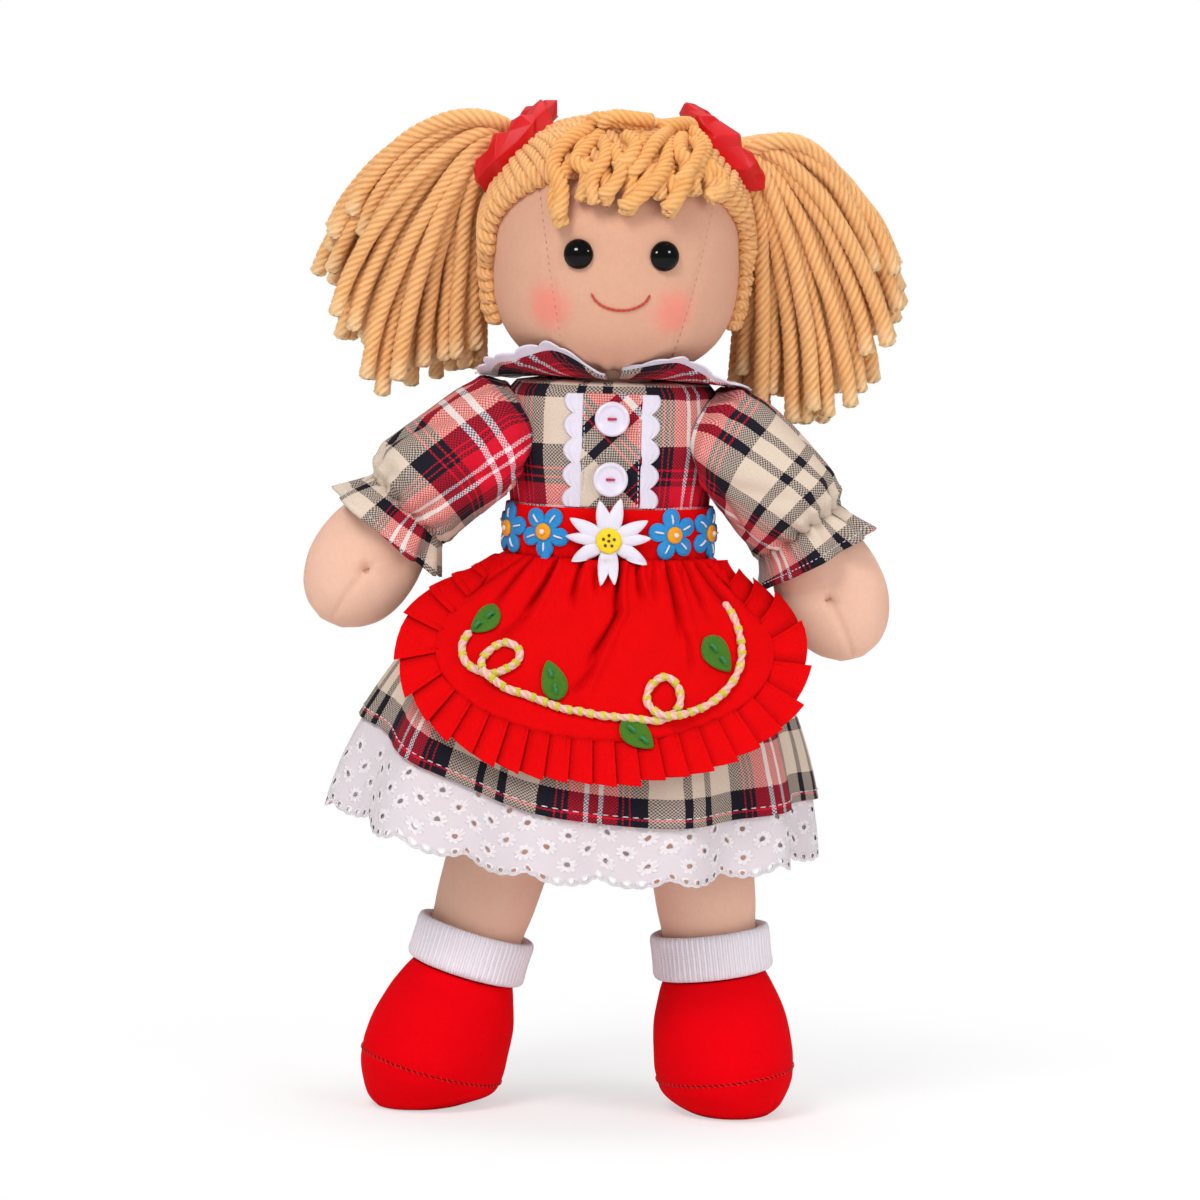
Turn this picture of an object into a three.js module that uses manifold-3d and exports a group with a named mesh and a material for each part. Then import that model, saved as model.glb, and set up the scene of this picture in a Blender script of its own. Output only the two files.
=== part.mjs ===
// Rag doll: a stuffed cloth body with a head, arms and legs sewn on, yarn hair in two bunches,
// a gathered dress over an eyelet petticoat, and a pleated apron on a flowered waistband.
// Millimetres, +Z up. The doll faces -Y, and its own right side is at negative X.
import * as THREE from "three";
import Module from "manifold-3d";
import { mergeVertices } from "three/addons/utils/BufferGeometryUtils.js";

const wasm = await Module();
wasm.setup();

// Clearances, plies of cloth and how far a cutter runs past what it cuts
const seatGap = 0.3;
const cutOverrun = 6;
const weldTolerance = 0.0001;
const cottonPly = 1.1;
const eyeletPly = 0.8;
const feltPly = 1.1;
const soleFlat = 0.5;

// Heights of the body
const hipHeight = 140;
const torsoLength = 106;
const waistShare = 0.467;
const bodiceRise = 3.3;
const neckLength = 10.3;
const chinRise = 5.8;

// Stuffed body, neck and hip seam
const torsoWidth = 72;
const torsoDepth = 44;
const neckWidth = 28;
const hipSeamWidth = 78;
const hipSeamThickness = 6.4;
const hipSpacing = 46.4;
const hipSideways = 4;
const shoulderPocket = 5;

// Stuffed head, seen from the front
const headWidth = 83.2;
const headDepth = 78;
const headHeight = 81;
const chinFullness = 3;
const crownFullness = 2.3;
const headTurn = THREE.MathUtils.degToRad(2.5);

// Safety eyes and mouth
const eyeDiameter = 10.2;
const eyeSpacing = 28.4;
const eyeStemDiameter = 3.2;
const eyeStemLength = 9;
const eyeStemClearance = 1;
const eyeWasherDiameter = 12;
const eyeWasherThickness = 1.4;
const mouthWidth = 19.4;
const mouthDrop = 6.6;
const mouthBelowEyes = 13;
const mouthThread = 1.1;

// Yarn hair
const hairThickness = 6.5;
const hairlineRise = 26;
const hairOpeningWidth = 82.6;
const hairOpeningSetBack = 3;
const napeHeight = 27;
const fringeWidth = 52;
const fringeDrop = 31;
const fringeThickness = 5.5;
const fringeTopInset = 5;
const fringeSideways = 4;
const fringeTufts = 7;
const bunchAngle = THREE.MathUtils.degToRad(44);
const bunchSetBack = 9;
const bunchWidth = 56;
const bunchDepth = 40;
const bunchLength = 91;
const bunchOutset = 73;
const bunchRootWidth = 15;
const bunchFallBack = 16;
const bunchRagged = 2.5;
const bunchTopRise = 1;
const tieDiameter = 42;
const tieBore = 17;
const tieThickness = 11;
const tieRipple = 1.3;

// Bodice, placket, collar and buttons
const bodiceWidth = 72.6;
const bodiceDepth = 50;
const armholeClearance = 1.3;
const placketWidth = 21;
const placketTopInset = 4;
const ricRacWidth = 4.6;
const ricRacWave = 1.5;
const ricRacPitch = 7.6;
const buttonDiameter = 11.8;
const buttonThickness = 2.2;
const buttonClearance = 0.9;
const upperButtonShare = 0.71;
const collarBore = 35;
const collarWidth = 27;
const collarLift = 9.5;
const collarDepthShare = 0.86;
const collarClothShare = 0.84;
const collarBraidShare = 0.2;

// Arms and sleeves
const armLength = 89;
const shoulderDropShare = 0.345;
const shoulderRootWidth = 16;
const armRootGap = 1.5;
const handWidth = 37;
const handDepth = 28;
const cuffAlong = 41;
const sleeveRootShare = 0.555;
const sleeveWidth = 42;
const sleeveRootDepthShare = 0.8;
const sleevePuff = 6.5;
const sleeveSides = 3;
const cuffShare = 0.735;
const frillLength = 11;
const frillWidth = 43;
const frillWaves = 9;
const frillWaveDepth = 1.5;
const rightArmAngles = [60, 22];
const leftArmAngles = [52, 14];

// Legs, socks and shoes
const thighWidth = 36.5;
const ankleWidth = 32;
const sockWidth = 40.6;
const sockHeight = 15.5;
const shoeHeight = 47;
const shoeWidth = 47.5;
const shoeLength = 61;
const shoeForward = 4;
const soleHeight = 14;
const rightLegTilt = THREE.MathUtils.degToRad(15.4);
const leftLegTilt = THREE.MathUtils.degToRad(7.8);
const rightToeOut = THREE.MathUtils.degToRad(22);
const leftToeOut = THREE.MathUtils.degToRad(4);

// Skirt bell, shared by the petticoat, the dress skirt and the apron
const waistWidth = 62.8;
const waistDepth = 44.8;
const bellWidth = 166;
const bellDepth = 112;
const bellDrop = 110;
const bellSideways = 12;
const bellRoundness = 0.8;
const skirtFolds = 11;
const skirtFoldDepth = 4;
const skirtFoldSway = 0.57;
const skirtOver = 1.6;
// Height of each hem above the floor at the doll's left, back, right and front
const petticoatHem = { left: 89, back: 77, right: 104, front: 85 };
const skirtHem = { left: 108, back: 100, right: 134, front: 105 };

// Waistband and its flowers
const bandHeight = 16.8;
const bandPly = 1.6;
const bandFlare = 1.2;
const flowerDiameter = 16.2;
const flowerCentre = 5.6;
const flowerSpacing = 16.6;
const daisyDiameter = 27.4;
const daisyCentre = 8.4;
const daisyDrop = 2;

// Apron
const apronDrop = 58;
const apronWidth = 118;
const apronTopWidth = 86;
const apronUpperShare = 0.5;
const apronSideShare = 0.3;
const apronCornerShare = 0.15;
const apronSpreadShare = 0.22;
const apronStandOff = 1;
const apronFlare = 20;
const apronGathers = 9;
const apronGatherDepth = 2.2;
const ruffleWidth = 12;
const ruffleFlare = 1.2;
const pleatWidth = 7.6;
const pleatStep = 1.5;
const vineThickness = 2.6;
const leafLength = 11;
const leafWidth = 7;

// Facets
const roundSteps = 22;
const limbSteps = 14;
const smallSteps = 12;
const hemSteps = 44;
const headLevels = 11;

// Levels and places worked out from the sizes
const neckBase = hipHeight + torsoLength;
const headCentre = neckBase + chinRise + headHeight / 2;
const skirtTop = hipHeight + torsoLength * waistShare;
const bodiceBottom = skirtTop + seatGap;
const bodiceTop = neckBase + bodiceRise;
const bodiceLength = bodiceTop - bodiceBottom;
const bandBottom = bodiceBottom;
const shoulderHeight = bodiceTop - bodiceLength * shoulderDropShare;
const shoulderSide = bodiceWidth / 2 + seatGap;

const colours = {
  skin: 0xeebd9c,
  red: 0xd2121a,
  plaid: 0x9a4a4c,
  white: 0xf2eff2,
  yarn: 0xe9a45c,
  black: 0x0c0b0c,
  plastic: 0xe8e4e6,
  blue: 0x2a86cc,
  gold: 0xf0a21c,
  green: 0x3f8127,
  vine: 0xf0c3a0,
  thread: 0xc64424,
};
const finish = (colour, roughness = 0.85, metalness = 0) =>
  new THREE.MeshStandardMaterial({ color: colours[colour], roughness, metalness });

const point = (x, y, z) => new THREE.Vector3(x, y, z);
const mix = (a, b, t) => a + (b - a) * t;
const ease = (t) => t * t * (3 - 2 * t);
const clamp01 = (t) => Math.min(1, Math.max(0, t));
const span = (count) => Array.from({ length: count }, (_, i) => i);

// A closed surface from points and triangles, turned to face out
function closedSurface(points, faces) {
  let volume = 0;
  for (const [a, b, c] of faces)
    volume += points[a].dot(new THREE.Vector3().crossVectors(points[b], points[c]));
  const order = volume < 0 ? faces.map(([a, b, c]) => [a, c, b]) : faces;
  const geometry = new THREE.BufferGeometry();
  const flat = points.flatMap((p) => [p.x, p.y, p.z]);
  geometry.setAttribute("position", new THREE.Float32BufferAttribute(flat, 3));
  geometry.setIndex(order.flat());
  return geometry;
}

// Rings of points linked one to the next: capped at both ends, or linked back to the first ring
function skinned(rings, looped = false) {
  const around = rings[0].length;
  const points = rings.flat();
  const faces = [];
  const last = looped ? rings.length : rings.length - 1;
  for (const r of span(last))
    for (const i of span(around)) {
      const a = r * around + i;
      const b = r * around + ((i + 1) % around);
      const c = ((r + 1) % rings.length) * around + ((i + 1) % around);
      const d = ((r + 1) % rings.length) * around + i;
      faces.push([a, b, c], [a, c, d]);
    }
  if (!looped)
    for (const [ring, start, turn] of [
      [rings[0], 0, -1],
      [rings.at(-1), (rings.length - 1) * around, 1],
    ]) {
      const middle = ring.reduce((sum, p) => sum.add(p), point(0, 0, 0)).divideScalar(around);
      points.push(middle);
      for (const i of span(around)) {
        const a = start + i;
        const b = start + ((i + 1) % around);
        faces.push(turn > 0 ? [points.length - 1, a, b] : [points.length - 1, b, a]);
      }
    }
  return closedSurface(points, faces);
}

// A slab between a front and a back sheet, both given as columns of points
function slab(front, back) {
  const columns = front.length;
  const rows = front[0].length;
  const points = [...front.flat(), ...back.flat()];
  const shift = columns * rows;
  const at = (i, j) => i * rows + j;
  const faces = [];
  const quad = (a, b, c, d) => faces.push([a, b, c], [a, c, d]);
  for (const i of span(columns - 1))
    for (const j of span(rows - 1)) {
      quad(at(i, j), at(i + 1, j), at(i + 1, j + 1), at(i, j + 1));
      quad(shift + at(i, j), shift + at(i, j + 1), shift + at(i + 1, j + 1), shift + at(i + 1, j));
    }
  const rim = [
    ...span(columns - 1).map((i) => [at(i, 0), at(i + 1, 0)]),
    ...span(rows - 1).map((j) => [at(columns - 1, j), at(columns - 1, j + 1)]),
    ...span(columns - 1).map((i) => [at(columns - 1 - i, rows - 1), at(columns - 2 - i, rows - 1)]),
    ...span(rows - 1).map((j) => [at(0, rows - 1 - j), at(0, rows - 2 - j)]),
  ];
  for (const [a, b] of rim) quad(b, a, shift + a, shift + b);
  return closedSurface(points, faces);
}

function solidOf(geometry) {
  const bare = new THREE.BufferGeometry();
  bare.setAttribute("position", geometry.getAttribute("position"));
  if (geometry.index) bare.setIndex(geometry.index);
  const merged = mergeVertices(bare, weldTolerance);
  return new wasm.Manifold(
    new wasm.Mesh({
      numProp: 3,
      vertProperties: merged.attributes.position.array,
      triVerts: new Uint32Array(merged.index.array),
    }),
  );
}

function geometryOf(solid) {
  const mesh = solid.getMesh();
  const geometry = new THREE.BufferGeometry();
  geometry.setAttribute("position", new THREE.Float32BufferAttribute(mesh.vertProperties, 3));
  geometry.setIndex(Array.from(mesh.triVerts));
  return geometry;
}

// The first shape less the others
function cut(geometry, ...cutters) {
  let solid = solidOf(geometry);
  for (const cutter of cutters) solid = solid.subtract(solidOf(cutter));
  return geometryOf(solid);
}

function joined(...geometries) {
  let solid = solidOf(geometries[0]);
  for (const geometry of geometries.slice(1)) solid = solid.add(solidOf(geometry));
  return geometryOf(solid);
}

function named(name, geometry, material) {
  const mesh = new THREE.Mesh(geometry, material);
  mesh.name = name;
  return mesh;
}

// A level oval ring: half width a along X, half depth b along Y
function ovalRing(steps, z, a, b, x = 0, y = 0) {
  return span(steps).map((i) => {
    const turn = (i / steps) * Math.PI * 2;
    return point(x + a * Math.cos(turn), y + b * Math.sin(turn), z);
  });
}

// A profile of { z, a, b } moved inwards by a ply, square to its own slope
function inset(profile, ply) {
  return profile.map((p, i) => {
    const before = profile[Math.max(0, i - 1)];
    const after = profile[Math.min(profile.length - 1, i + 1)];
    const slope = new THREE.Vector2(after.a - before.a, after.z - before.z).normalize();
    return { ...p, z: p.z + slope.x * ply, a: p.a - slope.y * ply, b: p.b - slope.y * ply };
  });
}

// An open tube of cloth from a profile of ovals, listed upwards
function clothTube(profile, ply, steps) {
  const ring = (p) => ovalRing(steps, p.z, p.a, p.b, p.x ?? 0, p.y ?? 0);
  return skinned([...profile.map(ring), ...inset(profile, ply).reverse().map(ring)], true);
}

// Half width (or depth) of the head at a height from its centre, as a share of the full half width
function headShare(rise) {
  const share = Math.min(1, Math.abs(rise) / (headHeight / 2));
  const fullness = rise < 0 ? chinFullness : crownFullness;
  return (1 - share ** fullness) ** (1 / fullness);
}

// The head's form, grown all round by a margin, about its own centre
function headForm(margin, steps, levels) {
  const grown = 1 + margin / (headHeight / 2);
  return skinned(
    span(levels + 1).map((j) => {
      const rise = -Math.cos(((j + 0.35) / (levels + 0.7)) * Math.PI) * (headHeight / 2);
      const share = headShare(rise);
      return ovalRing(
        steps,
        rise * grown,
        share * (headWidth / 2 + margin),
        share * (headDepth / 2 + margin),
      );
    }),
  );
}

// Depth of the face at a place seen from the front
function faceDepth(x, rise) {
  const share = headShare(rise);
  const across = Math.min(1, Math.abs(x) / (share * (headWidth / 2)));
  return -share * (headDepth / 2) * Math.sqrt(1 - across * across);
}

function cylinderAlong(axis, radius, length, steps = limbSteps) {
  const geometry = new THREE.CylinderGeometry(radius, radius, length, steps);
  if (axis === "x") geometry.rotateZ(Math.PI / 2);
  if (axis === "z") geometry.rotateX(Math.PI / 2);
  return geometry;
}

// The stuffed body, drawn in to a flat edge at the hip seam so that the legs can fold up
function torso() {
  // height from the hip seam, half width, half depth
  const torsoShares = [
    [0.015, 0.96, 0.07],
    [0.1, 1, 0.22],
    [0.2, 1, 0.44],
    [0.31, 0.96, 0.7],
    [0.42, 0.87, 0.91],
    [0.6, 0.86, 1],
    [0.78, 0.9, 0.95],
    [0.88, 0.84, 0.8],
    [0.96, 0.62, 0.6],
    [1, 0.3, 0.04],
  ];
  const rings = torsoShares.map(([rise, wide, deep]) =>
    ovalRing(
      limbSteps + 2,
      hipHeight + rise * torsoLength,
      (wide * torsoWidth) / 2,
      (deep * torsoDepth) / 2,
    ),
  );
  const seamRelief = cylinderAlong("x", hipSeamThickness / 2 + seatGap, torsoWidth + cutOverrun);
  const pockets = [-1, 1].map((side) =>
    cylinderAlong("x", shoulderRootWidth / 2 + seatGap * 2, torsoWidth / 2, smallSteps).translate(
      side * (shoulderSide - shoulderPocket + torsoWidth / 4),
      0,
      shoulderHeight,
    ),
  );
  return cut(skinned(rings), seamRelief.translate(0, 0, hipHeight), ...pockets);
}

// The rolled seam that both legs hang from
function hipSeam() {
  const bar = new THREE.CapsuleGeometry(
    hipSeamThickness / 2,
    hipSeamWidth - hipSeamThickness,
    2,
    smallSteps,
  );
  return bar.rotateZ(Math.PI / 2);
}

// The gathered neck between body and head
function neckForm(margin) {
  // height and half width
  const neckShares = [
    [0, 0.3],
    [0.14, 0.8],
    [0.4, 1],
    [0.75, 0.96],
    [1, 0.6],
  ];
  return skinned(
    neckShares.map(([rise, wide]) =>
      ovalRing(
        roundSteps,
        mix(-margin, neckLength + margin, rise),
        (wide * neckWidth) / 2 + margin,
        (wide * neckWidth) / 2 + margin,
      ),
    ),
  );
}

function bodiceProfile() {
  // height, half width, half depth
  const bodiceShares = [
    [0, 0.9, 0.94],
    [0.3, 0.92, 0.96],
    [0.6, 0.99, 1],
    [0.84, 0.99, 0.94],
    [0.93, 0.92, 0.85],
    [0.98, 0.74, 0.74],
    [1, 0.5, 0.6],
  ];
  return bodiceShares.map(([rise, wide, deep]) => ({
    z: bodiceBottom + rise * bodiceLength,
    a: (wide * bodiceWidth) / 2,
    b: (deep * bodiceDepth) / 2,
  }));
}

// Half width and half depth of the bodice at a height
function bodiceAt(z) {
  const profile = bodiceProfile();
  const above = profile.findIndex((p) => p.z >= z);
  const high = profile[above < 0 ? profile.length - 1 : Math.max(1, above)];
  const low = profile[Math.max(0, profile.indexOf(high) - 1)];
  const t = clamp01((z - low.z) / (high.z - low.z));
  return { a: mix(low.a, high.a, t), b: mix(low.b, high.b, t) };
}

function bodice() {
  const armholeRadius = shoulderRootWidth / 2 + armholeClearance;
  const armhole = cylinderAlong("x", armholeRadius, bodiceWidth + cutOverrun);
  return cut(
    clothTube(bodiceProfile(), cottonPly, roundSteps + 4),
    armhole.translate(0, 0, shoulderHeight),
  );
}

// A point at an arc length round an oval from its front, and the way out there
function roundOval(a, b, arc) {
  const step = Math.PI / 360;
  const side = Math.sign(arc) || 1;
  let turn = 0;
  let gone = 0;
  while (gone < Math.abs(arc) && turn < Math.PI) {
    gone += Math.hypot(a * Math.cos(turn), b * Math.sin(turn)) * step;
    turn += step;
  }
  const at = point(side * a * Math.sin(turn), -b * Math.cos(turn), 0);
  const out = point(at.x / (a * a), at.y / (b * b), 0).normalize();
  return { at, out };
}

// A place on the bodice: arc length from the centre front, and height
function onBodice(arc, z, lift) {
  const { a, b } = bodiceAt(z);
  const { at, out } = roundOval(a, b, arc);
  return at.addScaledVector(out, lift).setZ(z);
}

// A strip of cloth on the bodice between two edges, each an arc length given at a height
function bodiceStrip(leftEdge, rightEdge, ply, columns, rows, low, high) {
  const even = span(rows + 1).map((j) => mix(low, high, j / rows));
  const bends = bodiceProfile().map((p) => p.z).filter((z) => z > low && z < high);
  const levels = [...even, ...bends].sort((a, b) => a - b);
  const sheet = (lift) =>
    span(columns + 1).map((i) =>
      levels.map((z) => onBodice(mix(leftEdge(z), rightEdge(z), i / columns), z, lift)),
    );
  return slab(sheet(seatGap + ply), sheet(seatGap));
}

const placketLow = bandBottom + bandHeight + seatGap;
const placketHigh = bodiceTop - placketTopInset;
const bandMiddle = bandBottom + bandHeight / 2;
const daisyMiddle = bandMiddle - daisyDrop;
const lowerButton = daisyMiddle + (daisyDiameter + buttonDiameter) / 2 + buttonClearance;
const upperButton = mix(lowerButton, placketHigh, upperButtonShare);

function placket() {
  const half = placketWidth / 2;
  return bodiceStrip(() => -half, () => half, cottonPly, 6, 3, placketLow, placketHigh);
}

// Ric-rac braid down one side of the placket
function ricRac(side) {
  const middle = side * (placketWidth / 2 + seatGap + ricRacWidth / 2 + ricRacWave);
  const wave = (z) => ricRacWave * Math.sin(((z - placketLow) / ricRacPitch) * Math.PI * 2);
  return bodiceStrip(
    (z) => middle - ricRacWidth / 2 + wave(z),
    (z) => middle + ricRacWidth / 2 + wave(z),
    cottonPly,
    1,
    24,
    placketLow,
    placketHigh,
  );
}

// A shirt button with a raised rim, axis along Z, back face at zero
function button() {
  // distance from the axis and height
  const buttonShares = [
    [0, 0],
    [0.86, 0],
    [1, 0.4],
    [1, 0.75],
    [0.9, 1],
    [0.72, 0.92],
    [0.58, 0.62],
    [0, 0.62],
  ];
  const profile = buttonShares.map(
    ([out, up]) => new THREE.Vector2((out * buttonDiameter) / 2, up * buttonThickness),
  );
  return new THREE.LatheGeometry(profile, smallSteps).rotateX(Math.PI / 2);
}

function buttonOnPlacket(z) {
  const geometry = button();
  geometry.rotateX(Math.PI / 2);
  const lift = seatGap + cottonPly + seatGap * 2;
  const seat = onBodice(0, z, lift);
  return geometry.translate(seat.x, seat.y, seat.z);
}

// One half of the flared collar. round runs from centre front (0) to centre back (1)
function collarPoint(side, round, across, lift) {
  // how high the outer edge stands, by the share of the way round, on each half
  const rightEdgeShares = [0.1, 0.85, 1, 0.45, 0.4, 0.45, 0.5];
  const leftEdgeShares = [0.1, 0.95, 0.5, 0.05, 0.3, 0.45, 0.5];
  const collarRoundShares = [0.035, 0.97];
  // how wide the collar is, by the share of the way round
  const widthShares = [0.34, 0.78, 1, 1, 0.96, 0.9, 0.88];
  const at = (list) => {
    const place = clamp01(round) * (list.length - 1);
    const low = Math.min(list.length - 2, Math.floor(place));
    return mix(list[low], list[low + 1], ease(place - low));
  };
  const turn = mix(...collarRoundShares, round) * Math.PI;
  const width = collarWidth * at(widthShares) * across;
  const reach = collarBore / 2 + width;
  const stand = collarLift * at(side < 0 ? rightEdgeShares : leftEdgeShares);
  const rise = stand * across ** 1.6 - Math.sin(across * Math.PI) * seatGap;
  return point(
    side * reach * Math.sin(turn),
    -reach * Math.cos(turn) * collarDepthShare,
    bodiceTop + seatGap * 3 + rise + lift,
  );
}

function collar(side) {
  const columns = 13;
  const rows = 3;
  const sheet = (lift) =>
    span(columns + 1).map((i) =>
      span(rows + 1).map((j) => collarPoint(side, i / columns, (j / rows) * collarClothShare, lift)),
    );
  return slab(sheet(cottonPly), sheet(0));
}

// Ric-rac sewn round the collar's outer edge
function collarTrim(side) {
  const waves = 11;
  const steps = waves * 3;
  const inner = collarClothShare + (ricRacWave + seatGap * 3) / collarWidth;
  const sheet = (lift) =>
    span(steps + 1).map((i) => {
      const wave = (ricRacWave / collarWidth) * Math.sin(((i + 0.5) / 3) * Math.PI * 2);
      const edges = [inner + wave, inner + collarBraidShare + wave];
      return edges.map((across) => collarPoint(side, i / steps, across, lift));
    });
  return slab(sheet(cottonPly), sheet(0));
}

// Half sizes and sideways shift of the skirt bell at a height
function bellAt(z) {
  const down = clamp01((skirtTop - z) / bellDrop);
  const open = Math.sin((down * Math.PI) / 2) ** bellRoundness;
  return {
    a: mix(waistWidth, bellWidth, open) / 2,
    b: mix(waistDepth, bellDepth, open) / 2,
    x: -bellSideways * open,
    down,
  };
}

// A point of the bell, with its hanging folds
function bellPoint(turn, z, lift) {
  const { a, b, x, down } = bellAt(z);
  const phase = skirtFoldSway * Math.sin(turn * 2 + skirtFoldSway);
  const fold = skirtFoldDepth * down * Math.cos(skirtFolds * turn + phase);
  return point(
    x + (a + lift + fold) * Math.cos(turn),
    (b + lift + fold) * Math.sin(turn),
    z,
  );
}

// Height of a hem round the bell, smooth through its four named heights
function hemHeight(hem, turn) {
  const sides = (hem.left + hem.right) / 2;
  const ends = (hem.front + hem.back) / 2;
  return (
    (sides + ends) / 2 +
    ((hem.left - hem.right) / 2) * Math.cos(turn) +
    ((hem.back - hem.front) / 2) * Math.sin(turn) +
    ((sides - ends) / 2) * Math.cos(turn * 2)
  );
}

// A hanging layer of the skirt, from the waist seam down to its hem
function skirtLayer(hem, lift, ply, rows) {
  const ring = (t, out) =>
    span(hemSteps).map((i) => {
      const turn = (i / hemSteps) * Math.PI * 2;
      return bellPoint(turn, mix(skirtTop, hemHeight(hem, turn), t), lift + out);
    });
  const down = span(rows + 1).map((j) => (j / rows) ** 1.25);
  return skinned(
    [...down.map((t) => ring(t, ply)), ...[...down].reverse().map((t) => ring(t, 0))],
    true,
  );
}

// Half sizes of the cloth that lies outermost in front: the waistband above, the apron below
function frontAt(z) {
  const above = bodiceAt(Math.max(z, bandBottom));
  const band = clamp01((z - bandBottom) / bandHeight);
  const plies = bandPly + seatGap + bandFlare * (1 - band);
  const edge = { a: above.a + plies, b: above.b + plies, x: 0 };
  if (z >= bandBottom) return edge;
  const bell = bellAt(z);
  const spread = ease(clamp01(bell.down / apronSpreadShare));
  const under = skirtOver + cottonPly * 2 + seatGap * 2 + apronGatherDepth;
  const over = under + (skirtFoldDepth + apronStandOff) * bell.down;
  return {
    a: Math.max(edge.a, bell.a + over) + apronFlare * spread,
    b: Math.max(edge.b, bell.b + over),
    x: bell.x * (1 - 0.5 * spread),
  };
}

// A place on the waistband or apron: distance across the front, and height
function onFront(x, z, lift) {
  const { a, b, x: shift } = frontAt(z);
  const { at, out } = roundOval(a, b, x - shift);
  return at.addScaledVector(out, lift).setZ(z).add(point(shift, 0, 0));
}

function waistband() {
  const profile = [0, 0.45, 1].map((t) => {
    const z = bandBottom + t * bandHeight;
    const { a, b } = frontAt(z);
    return { z, a, b };
  });
  return clothTube(profile, bandPly, roundSteps + 4);
}

// Width of the panel at a share of its drop
const apronWidthAt = (t) => mix(apronTopWidth, apronWidth, ease(clamp01(t / apronUpperShare)));

// The panel's outline from its top right corner round the bottom to its top left corner
function apronEdge(share) {
  const side = share < 0.5 ? -1 : 1;
  const run = Math.min(share, 1 - share) * 2;
  if (run < apronSideShare) {
    const t = (run / apronSideShare) * apronUpperShare;
    return { x: (side * apronWidthAt(t)) / 2, drop: t * apronDrop };
  }
  const bend = ((run - apronSideShare) / (1 - apronSideShare)) * (Math.PI / 2);
  return {
    x: (side * apronWidth * Math.cos(bend)) / 2,
    drop: mix(apronUpperShare, 1, Math.sin(bend)) * apronDrop,
  };
}

const apronTop = bandBottom - seatGap * 2;

// Gathers run down from the waistband and fade out towards the hem
function gather(x, drop) {
  const t = drop / apronDrop;
  const startShare = 0.08;
  const endShare = 0.7;
  const lostShare = 0.75;
  const fade = clamp01(t / startShare) * (1 - lostShare * ease(clamp01(t / endShare)));
  const turn = (x / apronWidthAt(t)) * apronGathers * Math.PI * 2;
  return -apronGatherDepth * fade * (0.5 - 0.5 * Math.cos(turn));
}

// The gathered apron panel: columns fan out from the waistband to its rounded outline
function apron() {
  const columns = 22;
  const rows = 7;
  const sheet = (lift) =>
    span(columns + 1).map((i) => {
      const edge = apronEdge(mix(apronCornerShare, 1 - apronCornerShare, i / columns));
      const top = mix(-1, 1, i / columns) * (apronTopWidth / 2);
      return span(rows + 1).map((j) => {
        const t = j / rows;
        const x = mix(top, edge.x, ease(t));
        const drop = edge.drop * t;
        return onFront(x, apronTop - drop, gather(x, drop) + lift);
      });
    });
  return slab(sheet(0), sheet(-cottonPly));
}

// Knife pleats round the apron, each one lapping over the next
function apronRuffle() {
  const steps = 400;
  const marks = span(steps + 1).map((i) => apronEdge(i / steps));
  const far = [0];
  for (const i of span(steps))
    far.push(far[i] + Math.hypot(marks[i + 1].x - marks[i].x, marks[i + 1].drop - marks[i].drop));
  const pleats = Math.round(far.at(-1) / pleatWidth);
  const foldShares = [0, 0.5, 0.94];
  const columns = [];
  for (const p of span(pleats))
    for (const inPleat of foldShares) columns.push({ run: (p + inPleat) / pleats, inPleat });
  columns.push({ run: 1, inPleat: foldShares.at(-1) });
  const place = (run) => {
    const want = run * far.at(-1);
    const i = Math.min(steps - 1, Math.max(0, far.findIndex((f) => f >= want) - 1));
    const t = (want - far[i]) / (far[i + 1] - far[i]);
    const at = new THREE.Vector2(
      mix(marks[i].x, marks[i + 1].x, t),
      mix(marks[i].drop, marks[i + 1].drop, t),
    );
    const way = new THREE.Vector2(
      marks[i + 1].x - marks[i].x,
      marks[i + 1].drop - marks[i].drop,
    ).normalize();
    return { at, out: new THREE.Vector2(-way.y, way.x) };
  };
  const sheet = (lift) =>
    columns.map(({ run, inPleat }) => {
      const { at, out } = place(run);
      return [0, 0.5, 1].map((across) => {
        const grow = mix(0.2, 1, ease(clamp01(Math.min(run, 1 - run) * 6)));
        const reach = seatGap * 2 + across * ruffleWidth * mix(0.93, 1.05, inPleat) * grow;
        const x = at.x + out.x * reach;
        const drop = Math.max(0, at.y + out.y * reach);
        const stand = lift + pleatStep * inPleat + across * ruffleFlare;
        return onFront(x, apronTop - drop, stand - apronGatherDepth * 0.3);
      });
    });
  return slab(sheet(0), sheet(-cottonPly));
}

// A cloth shape sewn on the front: its outline as distances across and up from its middle
function applique(outline, x, z, lift, ply) {
  const ringShares = [0.34, 1];
  const shell = (out) => [
    onFront(x, z, out),
    ...ringShares.flatMap((share) =>
      outline.map(([u, v]) => onFront(x + u * share, z + v * share, out)),
    ),
  ];
  const around = outline.length;
  const count = 2 * around + 1;
  const points = [...shell(lift + ply), ...shell(lift)];
  const faces = [];
  for (const i of span(around)) {
    const a = 1 + i;
    const b = 1 + ((i + 1) % around);
    faces.push([0, a, b], [a, a + around, b + around], [a, b + around, b]);
    faces.push([count, count + b, count + a]);
    faces.push([count + a, count + b + around, count + a + around]);
    faces.push([count + a, count + b, count + b + around]);
    faces.push([a + around, count + a + around, count + b + around]);
    faces.push([a + around, count + b + around, b + around]);
  }
  return closedSurface(points, faces);
}

// Outline of a flower: petals swell between their roots
function petals(count, diameter, rootShare, steps, spin = 0) {
  return span(count * steps).map((i) => {
    const turn = (i / (count * steps)) * Math.PI * 2 + spin;
    const swell = Math.abs(Math.cos((i / steps) * Math.PI)) ** 0.7;
    const reach = (diameter / 2) * mix(rootShare, 1, swell);
    return [reach * Math.sin(turn), reach * Math.cos(turn)];
  });
}

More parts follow.
